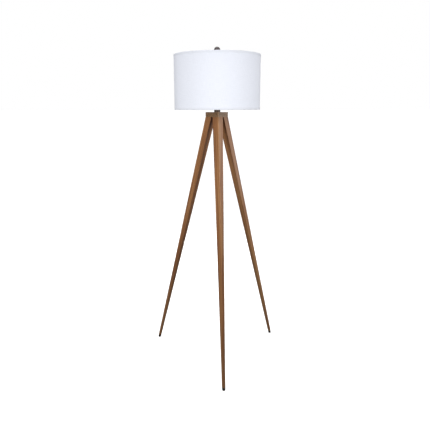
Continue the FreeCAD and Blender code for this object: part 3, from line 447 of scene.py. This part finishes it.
def lacqueredWalnut(name, tones, azimuth=None, seed=0.0):
    # Satin-lacquered walnut: brown and reddish streaks that run the length of the stick, fine dark pores
    # and a soft, slightly broken highlight
    material, tree = startMaterial(name)
    coords = addNode(tree, "ShaderNodeTexCoord")
    if azimuth is None:
        around, tilt = 0.0, math.radians(90)        # the block's grain lies level
    else:
        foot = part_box("foot_glide_front")
        footCentre = (foot[0] + foot[1]) / 2
        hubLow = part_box("hub_block")[0].z
        splay = math.atan2(abs(footCentre.y) - walnut["topRadius"], hubLow)
        around, tilt = -math.radians(azimuth), splay
    # first round to the front of the leg, then upright, because one Mapping node would do it
    # the other way round
    faced = addNode(tree, "ShaderNodeMapping", {},
                    {"Vector": coords.outputs["Object"], "Rotation": (0, 0, around)})
    steer = addNode(tree, "ShaderNodeMapping", {},
                    {"Vector": faced.outputs[0], "Rotation": (0, tilt, 0),
                     "Location": (seed, seed * 0.7, seed * 3)})
    along = addNode(tree, "ShaderNodeMapping", {},
                    {"Vector": steer.outputs[0], "Scale": (1, 1, walnut["grainStretch"])})
    bands = addNode(tree, "ShaderNodeTexNoise", {},
                    {"Vector": along.outputs[0], "Scale": 1 / walnut["bandWidth"], "Detail": 4.0,
                     "Distortion": 0.8})
    cloud = addNode(tree, "ShaderNodeTexNoise", {},
                    {"Vector": along.outputs[0], "Scale": walnut["cloudScale"] / walnut["bandWidth"],
                     "Detail": 2.0})
    pores = addNode(tree, "ShaderNodeTexNoise", {},
                    {"Vector": along.outputs[0], "Scale": 1 / walnut["poreWidth"], "Detail": 2.0,
                     "Roughness": 0.7})
    blend = addNode(tree, "ShaderNodeMath", {"operation": "MULTIPLY_ADD"},
                    {0: cloud.outputs["Fac"], 1: walnut["cloudShare"], 2: bands.outputs["Fac"]})
    centred = addNode(tree, "ShaderNodeMath", {"operation": "SUBTRACT"},
                      {0: blend.outputs[0], 1: walnut["cloudMean"]})
    colour = addNode(tree, "ShaderNodeValToRGB", {"stops": list(zip(walnut["toneStops"], tones))},
                     {"Fac": centred.outputs[0]})
    poreLow, poreHigh = walnut["poreEdges"]
    poreMask = addNode(tree, "ShaderNodeMapRange", {},
                       {"Value": pores.outputs["Fac"], "From Min": poreLow, "From Max": poreHigh,
                        "To Min": walnut["poreDark"], "To Max": 1.0})
    toned = addNode(tree, "ShaderNodeMix", {"data_type": "RGBA", "blend_type": "MULTIPLY"},
                    {"Factor": 1.0, 6: colour.outputs[0], 7: poreMask.outputs[0]})
    duller, glossier = walnut["roughSpread"]
    rough = addNode(tree, "ShaderNodeMapRange", {},
                    {"Value": bands.outputs["Fac"], "To Min": walnut["roughness"] + duller,
                     "To Max": walnut["roughness"] - glossier})
    bump = addNode(tree, "ShaderNodeBump", {},
                   {"Strength": 0.35, "Distance": walnut["poreDepth"], "Height": poreMask.outputs[0]})
    surface = addNode(tree, "ShaderNodeBsdfPrincipled", {},
                      {"Base Color": toned.outputs[2], "Roughness": rough.outputs[0], "IOR": 1.5,
                       "Specular IOR Level": walnut["gloss"], "Coat Weight": walnut["lacquer"],
                       "Coat Roughness": walnut["lacquerRoughness"], "Normal": bump.outputs[0]})
    endMaterial(tree, surface)
    return material


for i, (side, azimuth) in enumerate(legAzimuths.items()):
    legFinish = lacqueredWalnut("lacqueredWalnut" + side.capitalize(), walnut["leg"], azimuth,
                                legSeedStep * (i + 1))
    dress(["leg_" + side], legFinish)
dress(["hub_block"], lacqueredWalnut("lacqueredWalnutBlock", walnut["block"], seed=blockSeed))
print("wood dressed")


# Metal, plastic and card finishes

speckle = {"stops": (0.38, 0.64), "wanderEdges": (0.3, 0.7), "gritPerPatch": 14, "gritStrength": 0.4}


def speckled(name, base, patch, metallic, rough, roughSpread, patchSize, bumpDepth=0.0, extra=None):
    # One build for every cast, plated, painted or moulded finish: two close colours in soft patches,
    # roughness that wanders with them and, where asked, a fine surface texture
    material, tree = startMaterial(name)
    coords = addNode(tree, "ShaderNodeTexCoord")
    patches = addNode(tree, "ShaderNodeTexNoise", {},
                      {"Vector": coords.outputs["Object"], "Scale": 1 / patchSize, "Detail": 5.0,
                       "Roughness": 0.6})
    colour = addNode(tree, "ShaderNodeValToRGB", {"stops": list(zip(speckle["stops"], (base, patch)))},
                     {"Fac": patches.outputs["Fac"]})
    wanderLow, wanderHigh = speckle["wanderEdges"]
    wander = addNode(tree, "ShaderNodeMapRange", {},
                     {"Value": patches.outputs["Fac"], "From Min": wanderLow, "From Max": wanderHigh,
                      "To Min": rough - roughSpread, "To Max": rough + roughSpread})
    values = {"Base Color": colour.outputs[0], "Metallic": metallic, "Roughness": wander.outputs[0]}
    if bumpDepth:
        grit = addNode(tree, "ShaderNodeTexNoise", {},
                       {"Vector": coords.outputs["Object"], "Scale": speckle["gritPerPatch"] / patchSize,
                        "Detail": 3.0})
        bump = addNode(tree, "ShaderNodeBump", {},
                       {"Strength": speckle["gritStrength"], "Distance": bumpDepth,
                        "Height": grit.outputs["Fac"]})
        values["Normal"] = bump.outputs[0]
    values.update(extra or {})
    endMaterial(tree, addNode(tree, "ShaderNodeBsdfPrincipled", {}, values))
    return material


# Rubbed bronze over steel: near-black brown with warm rubbed patches and a broad highlight
rubbedBronze = speckled("rubbedBronze", "#493C34", "#66554A", 0.7, 0.42, 0.07, 12 * mm, 0.03 * mm)
# The same bronze on the finial, painted paler and greyer: a painted reflection of the white surroundings on
# its top
reflectionPaintedBronze = speckled("reflectionPaintedBronze", "#544B49", "#71686A", 0.6, 0.4, 0.08, 9 * mm, 0.03 * mm)
# Zinc plate: cool grey, faintly mottled
zincPlate = speckled("zincPlate", "#A9ABAA", "#C3C4C0", 1.0, 0.34, 0.08, 4 * mm)
# Turned brass: warm yellow with slight tarnish
turnedBrass = speckled("turnedBrass", "#B08A45", "#C9A35C", 1.0, 0.28, 0.06, 5 * mm)
# Rolled aluminium of the bulb's cap: pale, softly scuffed
rolledAluminium = speckled("rolledAluminium", "#BFC1C3", "#D6D7D8", 1.0, 0.3, 0.1, 3 * mm)
# Phenolic moulding: deep brown-black with a dull gloss
phenolic = speckled("phenolic", "#1A1614", "#26201D", 0.0, 0.42, 0.06, 6 * mm, 0.02 * mm)
# Moulded thermoplastic rubber of the foot tips: dark grey-brown and matt, scuffed by the floor
mouldedRubber = speckled("mouldedRubber", "#2B2421", "#463C37", 0.0, 0.72, 0.08, 5 * mm, 0.06 * mm)
# Pressed insulating card: warm brown fibre
pressedCard = speckled("pressedCard", "#7A6243", "#8E7452", 0.0, 0.85, 0.05, 2 * mm, 0.05 * mm)
# Beech dowel: pale and dry
beechDowel = speckled("beechDowel", "#C29E6C", "#D3B483", 0.0, 0.7, 0.05, 3 * mm, 0.05 * mm)
# Glossy white PBT of the bulb's body
whitePbt = speckled("whitePbt", "#E4E4E1", "#EDEDEA", 0.0, 0.3, 0.04, 15 * mm)
# Opal polycarbonate: milky, so light spreads inside it
opalSpread = 4 * mm      # how far light spreads in it
opalPolycarbonate = speckled("opalPolycarbonate", "#EDEDE8", "#F3F3EF", 0.0, 0.4, 0.03, 20 * mm, 0,
                             {"Subsurface Weight": 0.4, "Subsurface Radius": (opalSpread,) * 3})
# Solder mask over the board: flat white
solderMask = speckled("solderMask", "#D9DBD6", "#E6E7E3", 0.0, 0.5, 0.05, 6 * mm)

dress(["neck_collar", "harp_saddle", "ferrule_left", "ferrule_right", "socket_cap", "socket_shell"],
      rubbedBronze)
dress(["foot_nails", "leg_bolts", "leg_bolt_washers", "pipe_washer", "pipe_nut", "spider_washer", "top_ring",
       "bottom_ring", "harp_swivel", "cap_set_screw"], zincPlate)
dress(["leg_inserts", "finial_insert", "terminal_screws", "centre_contact", "screw_shell", "switch_shaft",
       "bulb_contact"], turnedBrass)
dress(["cord_bushing", "socket_core", "bulb_insulator"], phenolic)
dress(["foot_glide_front", "foot_glide_right", "foot_glide_left"], mouldedRubber)
dress(["socket_liner"], pressedCard)
dress(["leg_dowels"], beechDowel)
print("metals and mouldings dressed")


# Drum shade: cloth bonded to a stiff liner, lapped and glued down the back, with a folded tape at each rim

shade = {"steps": 240, "rows": 8, "lap": 12 * mm, "seamAzimuth": 90, "glueGap": 0.02 * mm,
         "climbStart": 0.95, "cloth": "#E8EBF4", "clothShade": "#DFE2EB", "tape": "#DDE0E8",
         "thread": 1.1 * mm, "threadShare": 0.25, "slubStretch": (60, 1400), "slubScale": 0.5,
         "toneEdges": (0.6, 1.4), "weaveDepth": 0.2 * mm}
tapeShape = {"innerShare": 0.7, "foldRounding": 1.4 * mm, "edgeRounding": 0.18 * mm, "foldSteps": 6,
             "segments": 192}


def linenCloth(name, light, dark, threadContrast):
    # Plain-woven linen-look cotton: crossing threads with thicker slubs here and there, matt with a soft
    # sheen. The thread spacing is drawn a little coarse, so that it still shows across a room
    material, tree = startMaterial(name)
    flat = addNode(tree, "ShaderNodeUVMap", {"uv_map": "UVMap"})
    split = addNode(tree, "ShaderNodeSeparateXYZ", {}, {0: flat.outputs[0]})
    weave = []
    for axis in (0, 1):
        scaled = addNode(tree, "ShaderNodeMath", {"operation": "MULTIPLY"},
                         {0: split.outputs[axis], 1: 2 * math.pi / shade["thread"]})
        wave = addNode(tree, "ShaderNodeMath", {"operation": "SINE"}, {0: scaled.outputs[0]})
        weave.append(wave.outputs[0])
    crossed = addNode(tree, "ShaderNodeMath", {"operation": "MULTIPLY"}, {0: weave[0], 1: weave[1]})
    slubs = []
    lengthwise, across = shade["slubStretch"]
    for stretch in ((lengthwise, across, 1), (across, lengthwise, 1)):
        laid = addNode(tree, "ShaderNodeMapping", {}, {"Vector": flat.outputs[0], "Scale": stretch})
        slub = addNode(tree, "ShaderNodeTexNoise", {},
                       {"Vector": laid.outputs[0], "Scale": shade["slubScale"], "Detail": 2.0})
        slubs.append(slub.outputs["Fac"])
    slubbed = addNode(tree, "ShaderNodeMath", {"operation": "ADD"}, {0: slubs[0], 1: slubs[1]})
    height = addNode(tree, "ShaderNodeMath", {"operation": "MULTIPLY_ADD"},
                     {0: crossed.outputs[0], 1: shade["threadShare"], 2: slubbed.outputs[0]})
    toneLow, toneHigh = shade["toneEdges"]
    tone = addNode(tree, "ShaderNodeMapRange", {},
                   {"Value": height.outputs[0], "From Min": toneLow, "From Max": toneHigh, "To Min": 0.0,
                    "To Max": threadContrast})
    colour = addNode(tree, "ShaderNodeMix", {"data_type": "RGBA"},
                     {"Factor": tone.outputs[0], 6: linearColour(light), 7: linearColour(dark)})
    bump = addNode(tree, "ShaderNodeBump", {},
                   {"Strength": 0.3, "Distance": shade["weaveDepth"], "Height": height.outputs[0]})
    surface = addNode(tree, "ShaderNodeBsdfPrincipled", {},
                      {"Base Color": colour.outputs[2], "Roughness": 0.9, "Sheen Weight": 0.15,
                       "Sheen Roughness": 0.5, "Specular IOR Level": 0.2, "Normal": bump.outputs[0]})
    endMaterial(tree, surface)
    return material


def unrollUv(mesh, radius):
    # lays the turned wall out flat, in metres, with the join at the seam
    layer = mesh.uv_layers.new(name="UVMap")
    start = math.radians(shade["seamAzimuth"])
    full = 2 * math.pi
    for face in mesh.polygons:
        angles = []
        for index in face.vertices:
            point = mesh.vertices[index].co
            angles.append((math.atan2(point.y, point.x) - start) % full)
        if max(angles) - min(angles) > math.pi:
            angles = [a + full if a < math.pi else a for a in angles]
        for loop, angle, index in zip(face.loop_indices, angles, face.vertices):
            layer.data[loop].uv = (angle * radius, mesh.vertices[index].co.z)


def shadeCloth(finish):
    low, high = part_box("shade_fabric")
    outer = high.x
    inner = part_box("shade_liner")[1].x + shade["glueGap"]
    values = {"Steps": shade["steps"] + 1, "Rows": shade["rows"] - 1, "Radius": (outer + inner) / 2,
              "Thickness": outer - inner, "Bottom": low.z, "Height": high.z - low.z,
              "Start": math.radians(shade["seamAzimuth"]), "Overlap": shade["lap"] / outer,
              "Climb start": shade["climbStart"]}
    piece = runTree(wallRule, "shadeCloth", finish, values, [(0, 0, 0), (0, 0, 1)], False)
    unrollUv(piece.data, outer)
    return piece, (2 * math.pi * outer + shade["lap"], high.z - low.z)


def hemTape(isTop, finish):
    node = "shade_trim_top" if isTop else "shade_trim_bottom"
    low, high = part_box(node)
    outer = high.x
    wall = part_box("shade_fabric")[1].x
    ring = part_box("top_ring" if isTop else "bottom_ring")
    skin = outer - wall
    innerFace = ring[1].x - (ring[1].z - ring[0].z) - skin
    tall = high.z - low.z
    short = tall * tapeShape["innerShare"]
    # drawn for the lower rim, from the outer fold round to the inner one, then turned over for the top
    outline = [(outer, 0), (outer, tall), (wall, tall), (wall, skin), (innerFace + skin, skin),
               (innerFace + skin, short), (innerFace, short), (innerFace, 0)]
    fold, edge = tapeShape["foldRounding"], tapeShape["edgeRounding"]
    eased = rounded(outline, [fold, edge, 0, 0, 0, 0, edge, fold], tapeShape["foldSteps"])
    placed = [(r, high.z - h if isTop else low.z + h) for r, h in eased]
    name = "hemTapeTop" if isTop else "hemTapeBottom"
    piece = sweepRound(name, finish, placed, {"Segments": tapeShape["segments"]})
    unrollUv(piece.data, outer)
    return piece, node


cloth = linenCloth("wovenLinenCotton", shade["cloth"], shade["clothShade"], threadContrast=1.0)
tapeCloth = linenCloth("wovenHemTape", shade["tape"], shade["clothShade"], threadContrast=0.8)
# Rolled styrene sheet: smooth, white and slightly shiny, seen from inside the drum
styrene = speckled("rolledStyrene", "#EFEFEC", "#F3F3F0", 0.0, 0.35, 0.02, 90 * mm)

drum, drumFlat = shadeCloth(cloth)
finishPiece(drum, "shade", ["shade_fabric"])
for isTop in (True, False):
    tape, tapeNode = hemTape(isTop, tapeCloth)
    finishPiece(tape, "shade", [tapeNode])
dress(["shade_liner"], styrene)
print("shade made")


# Finial: a turned ball on a waisted foot

finial = {"ballShare": 0.5, "neck": 6.2 * mm, "groove": 0.7 * mm, "foot": 8.4 * mm, "footTop": 2.6 * mm,
          "waist": 3.4 * mm, "edges": (0.5 * mm, 1.0 * mm), "boreGap": 0.05 * mm, "boreRise": 0.9 * mm,
          "grooveSteps": 8, "arcSteps": 28}


def turnedFinial():
    low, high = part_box("finial_ball")
    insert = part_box("finial_insert")[1]
    ball = (high.x - low.x) * finial["ballShare"]
    centre = high.z - ball
    neck, foot = finial["neck"], finial["foot"]
    waist = low.z + finial["waist"]
    bore = insert.x + finial["boreGap"]
    boreTop = insert.z + finial["boreRise"]
    meet = math.asin(neck / ball)
    neckTop = centre - ball * math.cos(meet)
    outline = [(0, boreTop), (bore, boreTop), (bore, low.z)]
    outline += rounded([(bore, low.z), (foot, low.z), (foot, low.z + finial["footTop"]), (neck, waist)],
                       [0, *finial["edges"], 0])[1:]
    steps = finial["grooveSteps"]
    for s in range(1, steps):
        dip = finial["groove"] * math.sin(math.pi * s / steps)
        outline.append((neck - dip, waist + (neckTop - waist) * s / steps))
    outline += arc((0, centre), ball, meet - math.pi / 2, math.pi / 2, finial["arcSteps"])
    outline[-1] = (0, high.z)
    return lathe("turnedFinial", outline, roundSides)


# the finial takes the paler copy of the bronze, whose paleness is a painted reflection
finishPiece(turnedFinial(), "finial", ["finial_ball"], reflectionPaintedBronze)
print("finial made")


# Bulb: screw cap with its rolled thread, white body and opal dome

bulb = {"pitch": 3.6 * mm, "threadDepth": 0.55 * mm, "wall": 0.4 * mm, "rowsPerTurn": 10,
        "leadIn": 2 * mm, "mouthShrink": 2.4 * mm, "mouthHeight": 1.6 * mm, "threadSmoothing": 60,
        "shoulder": 0.6 * mm, "fullness": 0.9, "bodyWall": 1.5 * mm, "bodySteps": 16,
        "domeWall": 1.2 * mm, "domeSteps": 28}


def threadedCap():
    low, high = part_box("bulb_cap")
    rows = int((high.z - low.z) / bulb["pitch"] * bulb["rowsPerTurn"])
    climb = []
    for row in range(rows + 1):
        z = low.z + (high.z - low.z) * row / rows
        climb.append((high.x - bulb["mouthShrink"] * max(0.0, 1 - (z - low.z) / bulb["mouthHeight"]), z))
    outline = climb + [(r - bulb["wall"], z) for r, z in reversed(climb)]
    values = {"Wave depth": bulb["threadDepth"], "Waves round": -1.0, "Turns per metre": 1 / bulb["pitch"],
              "Low end": low.z, "High end": high.z, "Lead-in": bulb["leadIn"]}
    return sweepRound("threadedCap", rolledAluminium, outline, values, bulb["threadSmoothing"])


def bulbBody():
    low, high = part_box("bulb_body")
    start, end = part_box("bulb_cap")[1].x + bulb["shoulder"], high.x
    steps = bulb["bodySteps"]
    outside = []
    for s in range(steps + 1):
        share = s / steps
        swell = math.sin(share * math.pi / 2) ** bulb["fullness"]
        outside.append((start + (end - start) * swell, low.z + (high.z - low.z) * share))
    inside = [(r - bulb["bodyWall"], z) for r, z in reversed(outside[2:])]
    outline = outside + inside + [(0, outside[2][1]), (0, low.z)]
    return lathe("bulbBody", outline, roundSides)


def bulbDome():
    low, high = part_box("bulb_dome")
    radius = high.x
    inner = radius - bulb["domeWall"]
    centre = high.z - radius
    outline = []
    # up the outside, then down the inside
    for size, goesUp in ((radius, True), (inner, False)):
        lowest = math.asin((low.z - centre) / size)
        start, end = (lowest, math.pi / 2) if goesUp else (math.pi / 2, lowest)
        side = arc((0, centre), size, start, end, bulb["domeSteps"])
        side[-1 if goesUp else 0] = (0, centre + size)
        outline += side
    return lathe("bulbDome", outline, roundSides)


finishPiece(threadedCap(), "bulb", ["bulb_cap"])
finishPiece(bulbBody(), "bulb", ["bulb_body"], whitePbt)
finishPiece(bulbDome(), "bulb", ["bulb_dome"], opalPolycarbonate)

# The board of light-emitting chips under the dome
board = {"chips": 8, "chipSide": 2.8 * mm, "chipHeight": 0.8 * mm, "ringRadius": 14.4 * mm}


def ledBoard():
    low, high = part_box("led_board")
    thickness = high.z - low.z - board["chipHeight"]
    values = {"Board radius": high.x, "Board thickness": thickness, "Bottom": low.z,
              "Chips": board["chips"], "Chip side": board["chipSide"], "Chip height": board["chipHeight"],
              "Ring radius": board["ringRadius"]}
    return runTree(boardRule, "ledBoard", solderMask, values, [(0, 0, 0), (0, 0, 1)], False)


finishPiece(ledBoard(), "bulb", ["led_board"])
print("bulb made")


# Harp: spring wire bent to a bow, beaten flat where it passes the swivel, with a ring forged there

harp = {"splay": 12, "lowerBend": 80 * mm, "crownRadius": 52 * mm, "crownFlat": 4 * mm, "bendSteps": 14,
        "ringRadius": 7.3 * mm, "ringBore": 2.55 * mm, "ringHeight": 3 * mm, "ringEdge": 0.5 * mm,
        "ringSegments": 64, "wireEnd": 6 * mm, "wireRadius": 2 * mm,
        "crownDrop": 1.88 * mm}      # the wire stands highest just outside the beaten part


def harpPath():
    # one side of the bow, from its foot up to the ring
    low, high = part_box("harp_bow")
    crownZ = high.z - harp["crownDrop"]
    splay = math.radians(harp["splay"])
    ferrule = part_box("ferrule_right")
    footX = (ferrule[0].x + ferrule[1].x) / 2
    bend, crown = harp["lowerBend"], harp["crownRadius"]
    crownStart = (harp["crownFlat"] + crown * math.cos(splay), crownZ - crown - crown * math.sin(splay))
    bendTopX = footX + bend * (1 - math.cos(splay))
    run = (crownStart[0] - bendTopX) / math.tan(splay)
    bendZ = crownStart[1] - run - bend * math.sin(splay)
    steps = harp["bendSteps"]
    points = [(footX, low.z)]
    points += arc((footX + bend, bendZ), bend, math.pi, math.pi - splay, steps)
    points += arc((harp["crownFlat"], crownZ - crown), crown, -splay, math.pi / 2, 2 * steps)
    kept = [(x, z) for x, z in points if x > harp["wireEnd"]]
    return [(x, 0, z) for x, z in kept] + [(harp["wireEnd"], 0, crownZ)], crownZ


def harpRing(crownZ):
    bore, rim, edge = harp["ringBore"], harp["ringRadius"], harp["ringEdge"]
    low, high = crownZ - harp["ringHeight"] / 2, crownZ + harp["ringHeight"] / 2
    outline = rounded([(bore, low), (rim, low), (rim, high), (bore, high)], [0, edge, edge, 0])
    return sweepRound("harpRing", rubbedBronze, outline, {"Segments": harp["ringSegments"]})


wirePath, crownZ = harpPath()
bowSizes = {"Wire radius": harp["wireRadius"], "Copies": 2, "Flat reach": harp["ringRadius"],
            "Flat share": harp["ringHeight"] / (2 * harp["wireRadius"]), "Flat height": crownZ}
bow = runTree(wireRule, "harpWire", rubbedBronze, bowSizes, wirePath, False)
for piece in (bow, harpRing(crownZ)):
    finishPiece(piece, "root", ["harp_bow"])
print("harp made")


# Spider: three wires from the finial's washer out to the shade's top ring

spider = {"wireRadius": 1.5 * mm, "innerEnd": 10.5 * mm, "ringGap": 0.1 * mm}


def spiderWires():
    wire = spider["wireRadius"]
    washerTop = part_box("spider_washer")[1].z
    low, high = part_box("top_ring")
    ringInside = high.x - (high.z - low.z)
    # the first wire points to the lamp's back, and the others a third of a turn on
    path = [(0, spider["innerEnd"], washerTop + wire),
            (0, ringInside - spider["ringGap"], (low.z + high.z) / 2)]
    # a flat share of 1 leaves the wire round
    sizes = {"Wire radius": wire, "Copies": 3, "Flat reach": 1.0, "Flat share": 1.0, "Flat height": 0.0}
    return runTree(wireRule, "spiderWires", zincPlate, sizes, path, False)


finishPiece(spiderWires(), "shade", ["spider_arms"])
print("spider made")


# Switch knob with its flutes, and the hollow pipe's fine thread

knob = {"flutes": 12, "fluteDepth": 0.6 * mm, "core": 5.15 * mm, "rounding": 1.2 * mm, "face": 4 * mm,
        "boreGap": 0.02 * mm, "segments": 144, "smoothing": 40}
pipe = {"bore": 3.6 * mm, "core": 4 * mm, "pitch": 1 * mm, "depth": 0.4 * mm, "rowsPerTurn": 6,
        "leadIn": 1.2 * mm, "segments": 40, "smoothing": 60}


def flutedKnob():
    # drawn upright on the axis, then laid along the switch shaft
    low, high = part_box("switch_knob")
    radius, length = high.x, high.y - low.y
    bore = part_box("switch_shaft")[1].x + knob["boreGap"]
    boreEnd = length - knob["face"]
    outline = rounded([(0, boreEnd), (bore, boreEnd), (bore, 0), (radius, 0), (radius, length), (0, length)],
                      [0, 0, 0, knob["rounding"], knob["rounding"], 0])
    values = {"Segments": knob["segments"], "Wave depth": knob["fluteDepth"],
              "Waves round": float(knob["flutes"]), "Core radius": knob["core"]}
    piece = sweepRound("flutedKnob", phenolic, outline, values, knob["smoothing"])
    place = Matrix.Translation((0, high.y, (low.z + high.z) / 2))
    piece.data.transform(place @ Matrix.Rotation(math.radians(90), 4, "X"))
    return piece


def threadedPipe():
    low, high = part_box("threaded_pipe")
    rows = int((high.z - low.z) / pipe["pitch"] * pipe["rowsPerTurn"])
    outline = [(high.x, low.z + (high.z - low.z) * row / rows) for row in range(rows + 1)]
    outline += [(pipe["bore"], high.z), (pipe["bore"], low.z)]
    values = {"Segments": pipe["segments"], "Wave depth": pipe["depth"], "Waves round": -1.0,
              "Turns per metre": 1 / pipe["pitch"], "Core radius": pipe["core"], "Low end": low.z,
              "High end": high.z, "Lead-in": pipe["leadIn"]}
    return sweepRound("threadedPipe", zincPlate, outline, values, pipe["smoothing"])


finishPiece(flutedKnob(), "knob", ["switch_knob"])
finishPiece(threadedPipe(), "root", ["threaded_pipe"])
print("knob and pipe made")


# Studio: pale floor, white surround and soft boxes

# each light: place, what it faces, side, watts and how wide its grid lets it spread, in degrees
studio = {"floorHalf": 200.0, "surround": 0.14, "overhead": 1.8, "floorWash": 1.9, "overheadAngle": 70,
          "softBoxRight": ((1.2, -1.22, 1.45), (0, 0, 1.2), 1.0, 5.9, 92),
          "softBoxLeft": ((-1.2, -1.22, 1.45), (0, 0, 1.2), 1.0, 6.3, 92),
          "sheenCard": ((2.0, 0.9, 1.25), (0, 0, 0.9), 1.2, 8, 180),
          "backFill": ((0, 2.4, 1.5), (0, 0, 0.9), 1.6, 26, 180)}


def makeStudio():
    half = studio["floorHalf"]
    corners = [(-half, -half, 0), (half, -half, 0), (half, half, 0), (-half, half, 0)]
    floor = meshObject("floor", corners, [[0, 1, 2, 3]])
    # Matt white paper sweep
    material, tree = startMaterial("whitePaper")
    coords = addNode(tree, "ShaderNodeTexCoord")
    fibre = addNode(tree, "ShaderNodeTexNoise", {}, {"Vector": coords.outputs["Object"], "Scale": 40.0})
    tone = addNode(tree, "ShaderNodeValToRGB", {"stops": [(0.3, "#F4F4F4"), (0.7, "#F8F8F8")]},
                   {"Fac": fibre.outputs["Fac"]})
    paper = addNode(tree, "ShaderNodeBsdfPrincipled", {}, {"Base Color": tone.outputs[0], "Roughness": 0.95})
    endMaterial(tree, paper)
    floor.data.materials.append(material)
    # the paper would fill the shadows between the legs and grey the lacquer
    floor.visible_diffuse = False
    floor.visible_glossy = False

    world = bpy.data.worlds.new("surround")
    world.use_nodes = True
    bpy.context.scene.world = world
    tree = world.node_tree
    tree.nodes.clear()
    path = addNode(tree, "ShaderNodeLightPath")
    seen = addNode(tree, "ShaderNodeBackground", {}, {"Color": (1, 1, 1, 1), "Strength": 1.0})
    lit = addNode(tree, "ShaderNodeBackground", {}, {"Color": (1, 1, 1, 1), "Strength": studio["surround"]})
    both = addNode(tree, "ShaderNodeMixShader", {},
                   {0: path.outputs["Is Camera Ray"], 1: lit.outputs[0], 2: seen.outputs[0]})
    addNode(tree, "ShaderNodeOutputWorld", inputs={"Surface": both.outputs[0]})

    for name in ("softBoxRight", "softBoxLeft", "sheenCard", "backFill"):
        place, aim, side, watts, spread = studio[name]
        data = bpy.data.lights.new(name, "AREA")
        data.shape = "SQUARE"
        data.size = side
        data.energy = watts
        data.spread = math.radians(spread)
        lamp = bpy.data.objects.new(name, data)
        facing = (Vector(aim) - Vector(place)).to_track_quat("-Z", "Y").to_matrix().to_4x4()
        lamp.matrix_world = Matrix.Translation(place) @ facing
        bpy.context.scene.collection.objects.link(lamp)
        # the card only shows as a gloss on the legs' right faces
        lamp.visible_diffuse = name != "sheenCard"
    # two wide overhead lights: one for everything, and a wash that whitens only the paper
    washed = bpy.data.collections.new("washedByFloorLight")
    washed.objects.link(floor)
    for name in ("overhead", "floorWash"):
        data = bpy.data.lights.new(name, "SUN")
        data.energy = studio[name]
        data.angle = math.radians(studio["overheadAngle"])
        lamp = bpy.data.objects.new(name, data)
        bpy.context.scene.collection.objects.link(lamp)
        if name == "floorWash":
            lamp.light_linking.receiver_collection = washed
    bpy.context.scene.view_settings.view_transform = "Standard"


makeStudio()
print("studio set")
